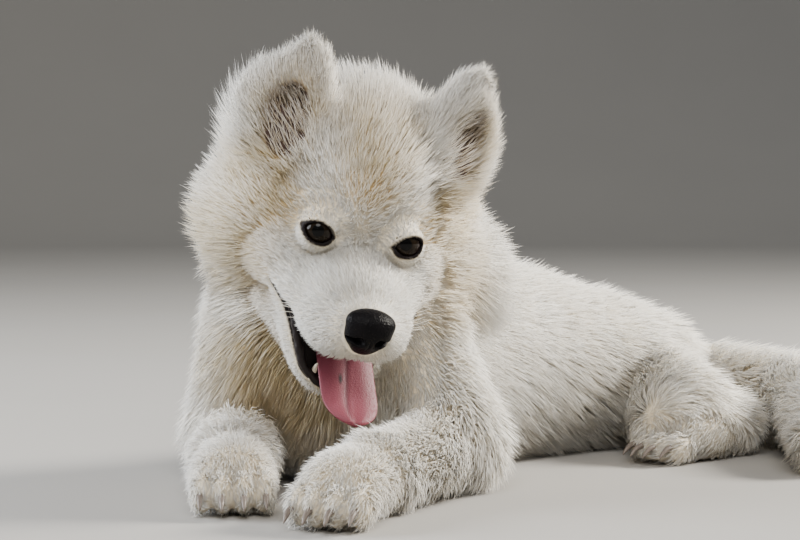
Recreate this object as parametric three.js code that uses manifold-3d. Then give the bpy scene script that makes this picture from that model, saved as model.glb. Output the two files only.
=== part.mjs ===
// A young samoyed lying on its belly with its head up. The solids follow the tips of the coat.
// Millimetres, +Z up. The dog faces -Y, its left side is +X, and the floor is at Z = 0.
import * as THREE from 'three';
import { mergeVertices } from 'three/addons/utils/BufferGeometryUtils.js';
import Module from 'manifold-3d';

// Driving dimensions
const GAP = 0.35;                 // space left between two pieces that touch
const HEAD_AT = [27, -160, 153.5];  // the point midway between the eyes
const HEAD_NOD = 34;              // degrees, nose down
const HEAD_TILT = 11;             // degrees, left side down
const HEAD_TURN = 53;             // degrees, to the dog's left
const EYE_SPACING = 54;
const EYE_RADIUS = 9.5;
const EYE_OPENING = [11.5, 11, 7.5];
const SKULL_HEIGHT = 79;          // from between the eyes to the coat on the crown
const MUZZLE_LENGTH = 60;         // from between the eyes to the nose
const NOSE_DROP = 24;
const CHIN_DROP = 87;
const MOUTH_CORNER = [-3, -38];
const EAR_TIP = [50, 60, 88];
const EAR_LEAN = 4;               // both ear tips lean to the dog's left
const CHEST_HALF_WIDTH = 74;
const CHEST_TURN = 20;            // degrees, the chest turns to the dog's left
const PELVIS = [-36, 158];
const PELVIS_TURN = 15;           // degrees, the rump turns to the dog's left
const BACK_HEIGHT = 172;
const RUMP_HEIGHT = 118;
const RUFF_HALF_WIDTH = 88;
const TAIL_HALF_WIDTH = 37;
const FORE_PAW = { halfWidth: 28, height: 46, length: 72 };
const HIND_PAW = { halfWidth: 24, height: 38, length: 46 };
const TOES = 4;
const CLAW = { length: 9, radius: 2.4 };
const TONGUE_HALF_WIDTH = 17;
const TRUNK_CUTS = [8, 112];      // where the chest ends and where the rump starts, along Y
const TAIL_CUTS = [42, 128];      // where the tail's lengths meet, along X

const COAT_COLOUR = 0xf1ece0;
const NOSE_COLOUR = 0x1c1a1b;
const EYE_COLOUR = 0x1a100c;
const TONGUE_COLOUR = 0xd9798a;
const CLAW_COLOUR = 0x4a4038;

const SIDES = { left: 1, right: -1 };
const ACROSS = new THREE.Vector3(1, 0, 0);
const UP = new THREE.Vector3(0, 0, 1);

const wasm = await Module();
wasm.setup();

const { degToRad, lerp: mix } = THREE.MathUtils;
const point = (list) => new THREE.Vector3(...list);
const spin = (degrees) => new THREE.Quaternion().setFromAxisAngle(UP, degToRad(degrees));
const bothSides = (build) => Object.values(SIDES).map(build);

// Forms: functions of a point that are negative inside the form and about its distance outside
const offset = new THREE.Vector3();

function egg(centre, radii, turn = new THREE.Quaternion()) {
  const middle = point(centre);
  const back = turn.clone().invert();
  const [a, b, c] = radii;
  return (p) => {
    offset.copy(p).sub(middle).applyQuaternion(back);
    const reach = Math.hypot(offset.x / a, offset.y / b, offset.z / c);
    const slope = Math.hypot(offset.x / a ** 2, offset.y / b ** 2, offset.z / c ** 2);
    return slope < 1e-9 ? -Math.min(a, b, c) : reach * (reach - 1) / slope;
  };
}

// A limb with oval sections runs through stations [x, y, z, half width, half height]
function limb(...stations) {
  return (p) => {
    let nearest = Infinity;
    for (let i = 1; i < stations.length; i += 1) {
      const [from, to] = [stations[i - 1], stations[i]];
      const run = point(to.slice(0, 3)).sub(point(from.slice(0, 3)));
      const away = offset.copy(p).sub(point(from.slice(0, 3)));
      const along = THREE.MathUtils.clamp(away.dot(run) / run.lengthSq(), 0, 1);
      away.addScaledVector(run, -along);
      const [width, height] = [mix(from[3], to[3], along), mix(from[4], to[4], along)];
      const reach = Math.hypot(away.x / width, away.y / width, away.z / height);
      nearest = Math.min(nearest, (reach - 1) * Math.min(width, height));
    }
    return nearest;
  };
}

// A station of a length that lies on the floor: the coat spreads there, so it is widest low down
const lying = (x, y, halfWidth, top) => [x, y, 0.43 * top, halfWidth, 0.57 * top];

// Forms joined with a soft fillet of about the given size
function blend(fillet, ...forms) {
  return (p) => forms.map((form) => form(p)).reduce((a, b) => {
    const overlap = Math.max(fillet - Math.abs(a - b), 0) / fillet;
    return Math.min(a, b) - overlap ** 2 * fillet / 4;
  });
}

const hollowed = (fillet, form, hollow) => {
  const rest = blend(fillet, (p) => -form(p), hollow);
  return (p) => -rest(p);
};

// Grid lines from lo to hi: even fine steps inside the focus, growing to coarse ones outside it
function gridLines(lo, hi, fine, coarse = fine, focus = [lo, hi]) {
  const growth = 1.9;
  const count = Math.max(1, Math.round((focus[1] - focus[0]) / fine));
  const lines = Array.from({ length: count + 1 }, (_, i) => mix(focus[0], focus[1], i / count));
  for (const [from, to, way] of [[focus[1], hi, 1], [focus[0], lo, -1]]) {
    let step = fine;
    for (let at = from; way * (to - at) > 0;) {
      step = Math.min(coarse, step * growth);
      at += way * step;
      lines.push(at);
    }
  }
  return lines.sort((a, b) => a - b);
}

// An even grid with room to spare round the stations of a limb
const gridAround = (stations, cell) => [0, 1, 2].map((axis) => {
  const spare = Math.max(...stations.flatMap((station) => station.slice(3))) + 2.5 * cell;
  const along = stations.map((station) => station[axis]);
  return gridLines(Math.min(...along) - spare, Math.max(...along) + spare, cell);
});

function slopeOf(form, p) {
  const h = 0.05;
  const probe = (axis, by) => form(p.clone().setComponent(axis, p.getComponent(axis) + by));
  return point([0, 1, 2].map((axis) => (probe(axis, h) - probe(axis, -h)) / (2 * h)));
}

// Moves a point down or up the form's slope until it lies on the form's surface
function settle(form, p, reach) {
  const start = p.clone();
  for (let i = 0; i < 4; i += 1) {
    const slope = slopeOf(form, p);
    p.addScaledVector(slope, -form(p) / Math.max(slope.lengthSq(), 0.05));
  }
  const moved = p.clone().sub(start);
  return moved.length() > reach ? start.add(moved.setLength(reach)) : p;
}

// The surface of a form on a grid: a corner in each cell it crosses, and a square on each edge
function surfaceOf(form, lines) {
  const size = lines.map((list) => list.length);
  const index = ([i, j, k]) => i + size[0] * (j + size[1] * k);
  const place = (cell) => point(cell.map((n, axis) => lines[axis][n]));
  const cells = [];
  for (let k = 0; k < size[2]; k += 1) {
    for (let j = 0; j < size[1]; j += 1) {
      for (let i = 0; i < size[0]; i += 1) cells.push([i, j, k]);
    }
  }
  const level = cells.map((cell) => form(place(cell)));
  const corners = [];
  const cornerOf = new Map();
  const cornerIn = (cell) => {
    const key = index(cell);
    if (!cornerOf.has(key)) {
      const crossings = [];
      for (let low = 0; low < 8; low += 1) {
        for (const bit of [1, 2, 4].filter((value) => !(low & value))) {
          const ends = [low, low | bit].map((n) => cell.map((at, axis) => at + ((n >> axis) & 1)));
          const [a, b] = ends.map((end) => level[index(end)]);
          if ((a < 0) !== (b < 0)) crossings.push(place(ends[0]).lerp(place(ends[1]), a / (a - b)));
        }
      }
      const middle = crossings.reduce((sum, p) => sum.add(p)).divideScalar(crossings.length);
      const reach = 0.5 * Math.min(...cell.map((n, axis) => lines[axis][n + 1] - lines[axis][n]));
      cornerOf.set(key, corners.length);
      corners.push(settle(form, middle, reach));
    }
    return cornerOf.get(key);
  };
  const faces = [];
  for (const cell of cells.filter((at) => at.every((n, axis) => n > 0 && n < size[axis] - 1))) {
    const inside = level[index(cell)] < 0;
    for (let main = 0; main < 3; main += 1) {
      const next = cell.map((n, axis) => n + (axis === main ? 1 : 0));
      if ((level[index(next)] < 0) === inside) continue;
      const [second, third] = [(main + 1) % 3, (main + 2) % 3];
      const [a, b, c, d] = [[1, 1], [0, 1], [0, 0], [1, 0]].map(([back, down]) => cornerIn(
        cell.map((n, axis) => n - (axis === second ? back : 0) - (axis === third ? down : 0))));
      const shortCut = corners[a].distanceTo(corners[c]) < corners[b].distanceTo(corners[d]);
      for (const face of shortCut ? [[a, b, c], [a, c, d]] : [[b, c, d], [b, d, a]]) {
        faces.push(...(inside ? face : face.reverse()));
      }
    }
  }
  return { corners, faces };
}

function geometryOf(corners, faces) {
  const geometry = new THREE.BufferGeometry().setFromPoints(corners);
  geometry.setIndex(faces);
  return geometry;
}

function geometryIn(solid) {
  const { vertProperties, triVerts } = solid.getMesh();
  const geometry = new THREE.BufferGeometry();
  geometry.setAttribute('position', new THREE.BufferAttribute(vertProperties, 3));
  return geometry.setIndex(new THREE.BufferAttribute(triVerts, 1));
}

function solidOf(geometry) {
  const bare = geometry.clone();
  bare.deleteAttribute('normal');
  bare.deleteAttribute('uv');
  const merged = mergeVertices(bare);
  return new wasm.Manifold(new wasm.Mesh({
    numProp: 3,
    vertProperties: new Float32Array(merged.attributes.position.array),
    triVerts: new Uint32Array(merged.index.array),
  }));
}

// A form as a solid, and the same solid grown by a gap, which cuts its neighbours clear of it
function bodyOf(form, lines, place = new THREE.Matrix4()) {
  const { corners, faces } = surfaceOf(form, lines);
  const grown = corners.map((p) => p.clone().addScaledVector(slopeOf(form, p).normalize(), GAP));
  const [solid, clear] = [corners, grown].map((list) => solidOf(geometryOf(
    list.map((p) => p.applyMatrix4(place)), faces)));
  return { solid, clear };
}

// A tapering rod with oval sections along a curve
function rod(curve, steps, sides, widthAt, thicknessAt) {
  const corners = [];
  for (let i = 0; i <= steps; i += 1) {
    const t = i / steps;
    const centre = curve.getPointAt(t);
    const thin = curve.getTangentAt(t).cross(ACROSS).normalize();
    for (let side = 0; side < sides; side += 1) {
      const angle = 2 * Math.PI * side / sides;
      corners.push(centre.clone().addScaledVector(ACROSS, Math.cos(angle) * widthAt(t))
        .addScaledVector(thin, Math.sin(angle) * thicknessAt(t)));
    }
  }
  const faces = [];
  for (let i = 0; i < steps * sides; i += 1) {
    const next = i + (i % sides === sides - 1 ? 1 - sides : 1);
    faces.push(i, next, i + sides, next, next + sides, i + sides);
  }
  const last = steps * sides;
  for (let side = 1; side < sides - 1; side += 1) {
    faces.push(0, side + 1, side, last, last + side, last + side + 1);
  }
  return solidOf(geometryOf(corners, faces));
}

function block(lo, hi) {
  const size = point(hi).sub(point(lo));
  const geometry = new THREE.BoxGeometry(...size.toArray());
  return solidOf(geometry.translate(...point(lo).addScaledVector(size, 0.5).toArray()));
}

const FAR = 500;
const onFloor = (solid) => solid.subtract(block([-FAR, -FAR, -FAR], [FAR, FAR, 0]));
const cutBy = (solid, cutters) => cutters.reduce((left, cutter) => left.subtract(cutter), solid);

// Splits a solid into named lengths by flat cuts across one axis
function lengthsOf(solid, axis, cuts, names) {
  const edges = [-FAR, ...cuts, FAR];
  return names.map((name, n) => {
    const [lo, hi] = [[-FAR, -FAR, -FAR], [FAR, FAR, FAR]];
    lo[axis] = edges[n] + GAP / 2;
    hi[axis] = edges[n + 1] - GAP / 2;
    return [name, solid.intersect(block(lo, hi))];
  });
}

const dog = new THREE.Group();
const headGroup = new THREE.Group();
headGroup.position.set(...HEAD_AT);
headGroup.rotation.set(degToRad(HEAD_NOD), degToRad(HEAD_TILT), degToRad(HEAD_TURN), 'ZXY');
headGroup.updateMatrix();
dog.add(headGroup);

// Adds a solid as a part, without the slivers that the cuts leave loose beside it
function addPart(parent, name, solid, color = COAT_COLOUR, roughness = 0.9) {
  const [largest] = solid.decompose().sort((a, b) => b.volume() - a.volume());
  const material = new THREE.MeshStandardMaterial({ color, roughness, metalness: 0 });
  const mesh = new THREE.Mesh(geometryIn(largest), material);
  mesh.name = name;
  parent.add(mesh);
}

// Head, in its own frame: x to the dog's left, y backwards and z up, from between the eyes
const noseY = -MUZZLE_LENGTH;
const noseBody = bodyOf(
  blend(5,
    egg([0, noseY, -NOSE_DROP], [15, 9, 11]),
    egg([0, noseY + 3, 7 - NOSE_DROP], [12.5, 9, 6]),
    egg([0, noseY + 2, -9 - NOSE_DROP], [5, 6, 6])),
  [gridLines(-24, 24, 6), gridLines(-80, -36, 5.6), gridLines(-50, 0, 6)],
);
const skullForm = blend(22,
  egg([0, 52, SKULL_HEIGHT - 70], [74, 60, 70]),
  ...bothSides((side) => egg([side * 54, 52, -22], [42, 44, 50])),
  ...bothSides((side) => egg([side * 62, 66, 26], [30, 30, 34])),
);
const muzzleForm = blend(14,
  limb([0, 16, -28, 52, 26], [0, -18, -29, 37, 24], [0, 18 - MUZZLE_LENGTH, -30, 24, 18.5]),
  ...bothSides((side) => egg([side * 13, 20 - MUZZLE_LENGTH, -36], [17, 19, 15])),
  ...bothSides((side) => egg([side * 38, 18, -28], [25, 22, 25])),
);
const headForm = blend(12, skullForm, muzzleForm);
const headGrid = [
  gridLines(-145, 145, 10.5, 32, [-30, 30]),
  gridLines(-95, 180, 10, 32, [-62, -12]),
  gridLines(-140, 155, 10.5, 32, [-50, 10]),
];
const headBody = bodyOf(headForm, headGrid);
const jawForm = blend(12,
  limb([0, 26, 27 - CHIN_DROP, 40, 27], [0, -14, 9 - CHIN_DROP, 26, 16]),
  limb([0, -14, 9 - CHIN_DROP, 26, 16], [0, -26, -CHIN_DROP, 17, 12]),
);
const jawGrid = [
  gridLines(-74, 74, 13), gridLines(-64, 95, 11.5, 26, [-48, -12]), gridLines(-124, 0, 12)];
const jawBody = bodyOf(jawForm, jawGrid);

// The open mouth, seen from the side, cut right across below the upper lips
function mouthOpening() {
  const outline = [MOUTH_CORNER, [-30, -48], [-80, -52], [-80, -110], [-34, -80]];
  const halfWidth = 70;
  const shape = new THREE.Shape(outline.map(([y, z]) => new THREE.Vector2(y, z)));
  const prism = new THREE.ExtrudeGeometry(shape, { depth: 2 * halfWidth, bevelEnabled: false });
  const toSide = new THREE.Matrix4().makeBasis(new THREE.Vector3(0, 1, 0), UP, ACROSS);
  return solidOf(prism.translate(0, 0, -halfWidth).applyMatrix4(toSide));
}

function eye(side, radii, forward = 0) {
  const ball = new THREE.SphereGeometry(1, 14, 8).scale(...radii);
  return solidOf(ball.translate(side * EYE_SPACING / 2, 3 - forward, 0));
}

// The lower teeth that show: a canine at each side and a row of small ones between them
function lowerTeeth() {
  const teeth = [];
  for (let n = -3; n <= 3; n += 1) {
    const canine = Math.abs(n) === 3;
    const [x, y] = [n * 4.2, canine ? -33 : -36];
    const root = 8 - CHIN_DROP;
    const line = new THREE.LineCurve3(point([x, y, root]), point([x, y - 1, root + (canine ? 12 : 8)]));
    const radiusAt = (t) => mix(canine ? 2.4 : 1.9, 0.6, t);
    teeth.push(rod(line, 1, 4, radiusAt, radiusAt));
  }
  return teeth.reduce((a, b) => a.add(b));
}

function earBody(side) {
  const turn = new THREE.Quaternion().setFromEuler(
    new THREE.Euler(degToRad(-14), degToRad(side * 4), degToRad(side * 24)));
  const [tip, shoulder] = [0, 15].map((drop) =>
    [side * EAR_TIP[0] + EAR_LEAN, EAR_TIP[1] - 2, EAR_TIP[2] - drop]);
  const outer = blend(12, egg([side * 53, 52, 48], [33, 17, 34], turn),
    egg(shoulder, [17, 12, 17], turn), egg(tip, [9, 8, 11], turn));
  const inner = egg([side * 61 + EAR_LEAN, 33, 60], [14, 12, 24], turn);
  const reach = [0, side * 110].sort((a, b) => a - b);
  return bodyOf(hollowed(5, outer, inner), [
    gridLines(...reach, 11.5), gridLines(4, 102, 10.5), gridLines(-10, 116, 12)]);
}

function tongueSolid() {
  const curve = new THREE.CatmullRomCurve3(
    [[0, 6, -58], [1, -20, -65], [2, -40, -72], [3.5, -57, -78], [5, -73, -80]].map(point));
  const roundEnd = (t) => Math.sqrt(1.03 - (Math.max(0, t - 0.75) / 0.25) ** 2);
  const widthAt = (t) => TONGUE_HALF_WIDTH * mix(0.8, 1, Math.min(1, t * 3)) * roundEnd(t);
  return rod(curve, 7, 8, widthAt, (t) => mix(3.6, 2.8, t));
}

let head = cutBy(headBody.solid, [noseBody.clear, mouthOpening()]);
for (const [name, side] of Object.entries(SIDES)) {
  const [ball, socket] = [EYE_RADIUS, EYE_RADIUS + GAP].map((r) => eye(side, [r, r, r]));
  head = cutBy(head, [socket, eye(side, EYE_OPENING, EYE_OPENING[1])]);
  addPart(headGroup, 'eye_' + name, ball, EYE_COLOUR, 0.1);
  addPart(headGroup, 'ear_' + name, earBody(side).solid.subtract(headBody.clear));
}
addPart(headGroup, 'head', head);
addPart(headGroup, 'nose', noseBody.solid, NOSE_COLOUR, 0.4);
const jaw = jawBody.solid.add(lowerTeeth());
addPart(headGroup, 'lower_jaw', jaw.subtract(headBody.clear));
const jawClear = jawBody.clear.add(lowerTeeth());
addPart(headGroup, 'tongue', cutBy(tongueSolid(), [jawClear, headBody.clear]), TONGUE_COLOUR, 0.4);

// Trunk and neck
const headCutter = bodyOf(headForm, headGrid, headGroup.matrix).clear
  .add(bodyOf(jawForm, jawGrid, headGroup.matrix).clear);
const chestTurn = spin(CHEST_TURN);
const trunkForm = blend(30,
  limb(
    lying(-38, -74, CHEST_HALF_WIDTH, BACK_HEIGHT),
    lying(-50, -16, CHEST_HALF_WIDTH, BACK_HEIGHT - 5),
    lying(-54, 40, CHEST_HALF_WIDTH - 2, 152),
    lying(-50, 100, CHEST_HALF_WIDTH - 5, 134),
    lying(...PELVIS, CHEST_HALF_WIDTH - 6, RUMP_HEIGHT),
    lying(-20, 196, 54, RUMP_HEIGHT - 10),
  ),
  egg([-30, -104, 58], [72, 46, 66], chestTurn),
);
const neckForm = blend(26,
  limb([-40, -44, 126, RUFF_HALF_WIDTH, 64], [-36, -88, 146, RUFF_HALF_WIDTH, 82]),
  egg([-36, -112, 102], [RUFF_HALF_WIDTH + 4, 56, 72], chestTurn),
  egg([-36, -116, 150], [RUFF_HALF_WIDTH, 50, 68], spin(2 * CHEST_TURN)),
);
const trunk = bodyOf(trunkForm, [
  gridLines(-210, 130, 34), gridLines(-270, 340, 38), gridLines(-100, 270, 34)]);
const neck = bodyOf(neckForm, [
  gridLines(-210, 140, 33), gridLines(-275, 125, 33), gridLines(-55, 325, 33)]);
addPart(dog, 'neck', cutBy(neck.solid, [headCutter, trunk.clear]));
const trunkSolid = cutBy(onFloor(trunk.solid), [headCutter]);
for (const [name, solid] of lengthsOf(trunkSolid, 1, TRUNK_CUTS, ['chest', 'loin', 'rump'])) {
  addPart(dog, name, solid);
}

// Legs: each length in stations from the body out, then the wrist or instep and the toes
const LIMB_CELL = 25;
const legs = {
  fore_left: {
    upper_arm: [[12, -92, 80, 42, 44], lying(40, -92, 40, 72)],
    forearm: [lying(38, -96, 36, 62), lying(54, -142, 31, 56), lying(66, -192, 29, 50)],
    paw: { ...FORE_PAW, from: [66, -198], aim: [26, -66] },
  },
  fore_right: {
    upper_arm: [[-72, -128, 98, 52, 56], lying(-101, -128, 42, 74)],
    forearm: [lying(-98, -131, 37, 63), lying(-70, -164, 31, 56), lying(-38, -202, 29, 50)],
    paw: { ...FORE_PAW, from: [-34, -206], aim: [50, -52] },
  },
  hind_left: {
    thigh: [lying(6, 170, 44, 88), lying(48, 146, 40, 74)],
    shank: [lying(54, 120, 28, 58), lying(70, 170, 27, 52)],
    foot: [lying(74, 176, 18, 34), lying(70, 136, 22, 34)],
    paw: { ...HIND_PAW, from: [70, 138], aim: [-6, -46] },
  },
};

// The right hind leg mirrors the left one in the upright plane through the pelvis
function mirrored([x, y, ...sizes]) {
  const away = new THREE.Vector2(x - PELVIS[0], y - PELVIS[1]);
  const turn = degToRad(PELVIS_TURN);
  const heading = new THREE.Vector2(Math.sin(turn), Math.cos(turn));
  const along = heading.clone().multiplyScalar(2 * away.dot(heading));
  return [PELVIS[0] + along.x - away.x, PELVIS[1] + along.y - away.y, ...sizes];
}
const { paw: leftPaw, ...leftLengths } = legs.hind_left;
const instep = mirrored(leftPaw.from);
const toeEnd = mirrored([leftPaw.from[0] + leftPaw.aim[0], leftPaw.from[1] + leftPaw.aim[1]]);
legs.hind_right = {};
for (const [part, stations] of Object.entries(leftLengths)) {
  legs.hind_right[part] = stations.map(mirrored);
}
const rightAim = [toeEnd[0] - instep[0], toeEnd[1] - instep[1]];
legs.hind_right.paw = { ...HIND_PAW, from: instep, aim: rightAim };

// A paw in its own frame: x across, the toes towards -y, standing on z = 0
const toeSpots = (halfWidth, length) => Array.from({ length: TOES }, (_, toe) => {
  const place = (toe + 0.5) / TOES * 2 - 1;
  return [place * halfWidth * 0.88, 9 * place ** 2 - length, 0];
});
function pawForm({ halfWidth, height, length }) {
  const toes = toeSpots(halfWidth, length).map(([x, y]) => egg(
    [x, y, 0.34 * height], [0.26 * halfWidth, 0.5 * halfWidth, 0.42 * height]));
  const sole = limb(lying(0, 0, 0.96 * halfWidth, height), lying(0, 26 - length, halfWidth, height));
  return blend(3, sole, ...toes);
}
function clawSolid([x, y], halfWidth, place) {
  const start = y - 0.42 * halfWidth;
  const curve = new THREE.QuadraticBezierCurve3(point([x, start, 12]),
    point([x, start - 0.7 * CLAW.length, 12]), point([x, start - CLAW.length, 5]));
  const radiusAt = (t) => CLAW.radius * mix(1, 0.25, t);
  return solidOf(geometryIn(rod(curve, 2, 3, radiusAt, radiusAt)).applyMatrix4(place));
}

const tailCutters = [trunk.clear];
for (const [name, { paw, ...lengths }] of Object.entries(legs)) {
  const [end, side] = name.split('_');
  const cutters = [trunk.clear, neck.clear, headCutter];
  for (const [part, stations] of Object.entries(lengths)) {
    const body = bodyOf(limb(...stations), gridAround(stations, LIMB_CELL));
    addPart(dog, part + '_' + side, onFloor(cutBy(body.solid, cutters)));
    cutters.push(body.clear);
    if (end === 'hind') tailCutters.push(body.clear);
  }
  const place = new THREE.Matrix4().makeRotationZ(Math.atan2(paw.aim[0], -paw.aim[1]))
    .setPosition(...paw.from, 0);
  const { halfWidth, height, length } = paw;
  const acrossToes = [-0.88 * halfWidth, 0.88 * halfWidth];
  const pawBody = bodyOf(pawForm(paw), [
    gridLines(-halfWidth - 45, halfWidth + 45, 0.22 * halfWidth, 20, acrossToes),
    gridLines(-length - 60, 90, 9, 30, [-length - 11, -length - 2]),
    gridLines(-40, height + 40, 14),
  ], place);
  addPart(dog, end + '_paw_' + side, onFloor(cutBy(pawBody.solid, cutters)));
  toeSpots(halfWidth, length).forEach((spot, toe) => {
    const claw = clawSolid(spot, halfWidth, place).subtract(pawBody.clear);
    addPart(dog, ['claw', end, side, toe + 1].join('_'), claw, CLAW_COLOUR, 0.5);
  });
}

// Tail: it leaves the rump, turns round behind the thigh and lies along the dog's left side
const tailStations = [
  [-14, 208, 56, 30, 38],
  lying(8, 238, TAIL_HALF_WIDTH - 3, 90),
  lying(64, 248, TAIL_HALF_WIDTH, 78),
  lying(120, 212, TAIL_HALF_WIDTH + 4, 70),
  lying(158, 158, TAIL_HALF_WIDTH + 1, 62),
  lying(172, 112, 24, 44),
];
const tail = bodyOf(limb(...tailStations), gridAround(tailStations, LIMB_CELL + 3));
const tailSolid = onFloor(cutBy(tail.solid, tailCutters));
for (const [name, solid] of lengthsOf(tailSolid, 0, TAIL_CUTS, ['tail_root', 'tail_middle', 'tail_tip'])) {
  addPart(dog, name, solid);
}

// The origin goes under the middle of the dog's box, on the floor
const model = new THREE.Group();
model.add(dog);
const box = new THREE.Box3().setFromObject(dog);
dog.position.set(-(box.min.x + box.max.x) / 2, -(box.min.y + box.max.y) / 2, -box.min.z);

export default model;
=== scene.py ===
import math

import bpy
import numpy as np
from mathutils import Euler, Matrix, Vector, kdtree


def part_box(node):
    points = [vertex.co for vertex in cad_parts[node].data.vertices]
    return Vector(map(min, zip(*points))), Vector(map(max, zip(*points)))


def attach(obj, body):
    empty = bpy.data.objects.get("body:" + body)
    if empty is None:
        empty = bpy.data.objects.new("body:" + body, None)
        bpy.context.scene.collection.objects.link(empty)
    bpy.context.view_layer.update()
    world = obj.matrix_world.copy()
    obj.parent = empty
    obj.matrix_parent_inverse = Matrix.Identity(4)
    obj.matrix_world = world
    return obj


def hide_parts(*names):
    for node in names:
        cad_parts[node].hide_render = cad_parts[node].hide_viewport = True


# A young samoyed lying on its belly: skin, coat, face, claws and stage round the solids

bl_info = {
    "name": "Lying samoyed",
    "version": (1, 0, 0),
    "blender": (4, 5, 0),
    "location": "View3D > Sidebar > Samoyed",
    "description": "Makes the skin, the coat and the face of a young samoyed that lies on its belly",
    "category": "Add Mesh",
}

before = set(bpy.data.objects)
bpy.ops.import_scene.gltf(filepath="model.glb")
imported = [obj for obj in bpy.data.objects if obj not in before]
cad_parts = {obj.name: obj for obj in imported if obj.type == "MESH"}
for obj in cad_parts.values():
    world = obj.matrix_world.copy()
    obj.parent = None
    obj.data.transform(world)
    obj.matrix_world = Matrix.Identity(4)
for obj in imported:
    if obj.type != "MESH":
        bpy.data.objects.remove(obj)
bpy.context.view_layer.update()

# Sizes are in millimetres in the dog's own frame: x to its left, -y the way it faces, z up
MM = 0.001
SIDES = {"left": 1, "right": -1}
TOES = 4

HEAD_AT = np.array([27.0, -160.0, 153.5])  # the point midway between the eyes
HEAD_NOD = 34
HEAD_TILT = 11
HEAD_TURN = 53
CHEST_TURN = 20
PELVIS = np.array([-36.0, 158.0])
PELVIS_TURN = 15

EYE_SPACING = 54
EYE_DEPTH = 3
EYE_RADIUS = 9.5
LID_AIM = (0.20, -0.93, 0.30)  # the way the left lids face, in the head's frame
LID_SLANT = 12
LID_HALF_WIDTH = 8.8
UPPER_LID = 6.2
LOWER_LID = 5.2
LID_RADIUS = 11.4
BLUNT_END = {"inwards": 4.0, "down": 0.8, "radius": 6.2}  # the rim's round inner end
NOSE = np.array([0.0, -60.0, -24.0])
MOUTH_CORNER = (-3, -38)
UPPER_LIP = math.radians(17.5)  # how steeply the lips run down from the corner
LOWER_LIP = math.radians(51)
EAR_LEAN = 4
CHIN_DROP = 87
FORE_PAW = {"half_width": 28, "height": 46, "length": 72}
HIND_PAW = {"half_width": 24, "height": 38, "length": 46}
TONGUE_LINE = [(0, 6, -58), (1, -20, -65), (2, -40, -72), (3.2, -57, -78), (4, -74, -80)]
TONGUE_SPOT = (0.6, -45.0, -70.0)
TONGUE_ASIDE = 3.6
TONGUE_HALF_WIDTH = 17.5
GROOVE_START = 0.27  # across the tongue, in half widths, where the groove leaves the mouth
GROOVE_DRIFT = 0.56
GROOVE_WIDTH = 0.085
GROOVE_DEPTH = 0.3
FLOOR_CLEARANCE = 0.4


# Places: the head has its own frame, turned with the head

def turn_about(axis, degrees):
    return np.array(Matrix.Rotation(math.radians(degrees), 3, axis))


HEAD_AXES = turn_about("Z", HEAD_TURN) @ turn_about("X", HEAD_NOD) @ turn_about("Y", HEAD_TILT)


def head_to_body(points):
    return np.asarray(points, float) @ HEAD_AXES.T + HEAD_AT


def body_to_head(points):
    return (points - HEAD_AT) @ HEAD_AXES


def frame_shift():
    """How far the solids' frame lies from the dog's own frame, from where the left eye is."""
    low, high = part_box("eye_left")
    centre = np.array(low + high) / 2 / MM
    return centre - head_to_body([EYE_SPACING / 2, EYE_DEPTH, 0])


SHIFT = frame_shift()


def placed(points):
    """Points of the dog's own frame, in metres where the solids are."""
    return (np.asarray(points, float) + SHIFT) * MM


# Forms: functions of points that are negative inside the form and about the distance outside

def egg(centre, radii, turn=None):
    centre = np.array(centre, float)
    radii = np.array(radii, float)

    def form(points):
        away = points - centre
        if turn is not None:
            away = away @ turn
        reach = np.sqrt(((away / radii) ** 2).sum(1))
        slope = np.sqrt(((away / radii ** 2) ** 2).sum(1))
        return np.where(slope < 1e-7, -radii.min(), reach * (reach - 1) / np.maximum(slope, 1e-7))

    return form


def nearest_on(points, start, end):
    """How far along a stretch each point is, from 0 to 1, and its offset from there."""
    run = np.array(end[:3], float) - np.array(start[:3], float)
    away = points - np.array(start[:3], float)
    along = np.clip(away @ run / (run @ run), 0, 1)
    return along, away - along[:, None] * run


def limb(*stations):
    """A limb with oval sections through stations (x, y, z, half width, half height)."""

    def form(points):
        nearest = np.full(len(points), np.inf)
        for start, end in zip(stations, stations[1:]):
            along, away = nearest_on(points, start, end)
            width = start[3] + (end[3] - start[3]) * along
            height = start[4] + (end[4] - start[4]) * along
            level = (away[:, 0] ** 2 + away[:, 1] ** 2) / width ** 2
            reach = np.sqrt(level + (away[:, 2] / height) ** 2)
            nearest = np.minimum(nearest, (reach - 1) * np.minimum(width, height))
        return nearest

    return form


def lying(x, y, half_width, top):
    return (x, y, 0.43 * top, half_width, 0.57 * top)


def smooth_min(fillet, first, second):
    overlap = np.maximum(fillet - np.abs(first - second), 0) / fillet
    return np.minimum(first, second) - overlap ** 2 * fillet / 4


def blend(fillet, *forms):
    def form(points):
        level = forms[0](points)
        for other in forms[1:]:
            level = smooth_min(fillet, level, other(points))
        return level

    return form


def hollowed(fillet, form, hollow):
    return lambda points: -smooth_min(fillet, -form(points), hollow(points))


def deeper(form, depth):
    return lambda points: form(points) + depth


def on_head(form):
    return lambda points: form(body_to_head(points))


# Lie of the coat: functions of points that give the way the hair runs

def toward(direction):
    direction = np.array(direction, float)
    return lambda points: np.tile(direction / np.linalg.norm(direction), (len(points), 1))


def along_limb(*stations, sag=0.15):
    def lie(points):
        nearest = np.full(len(points), np.inf)
        way = np.zeros((len(points), 3))
        for start, end in zip(stations, stations[1:]):
            _, away = nearest_on(points, start, end)
            distance = np.linalg.norm(away, axis=1)
            run = np.array(end[:3], float) - np.array(start[:3], float)
            closer = distance < nearest
            nearest[closer] = distance[closer]
            way[closer] = run / np.linalg.norm(run)
        way[:, 2] -= sag
        return way

    return lie


def away_from(source, sag=0.0):
    source = np.array(source, float)

    def lie(points):
        way = points - source
        way = way / np.linalg.norm(way, axis=1)[:, None]
        way[:, 2] -= sag
        return way

    return lie


NOSE_IN_BODY = head_to_body(NOSE)


# Body parts: the coat's outline, the depth of the coat, how the hair runs and how far it stands out

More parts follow.
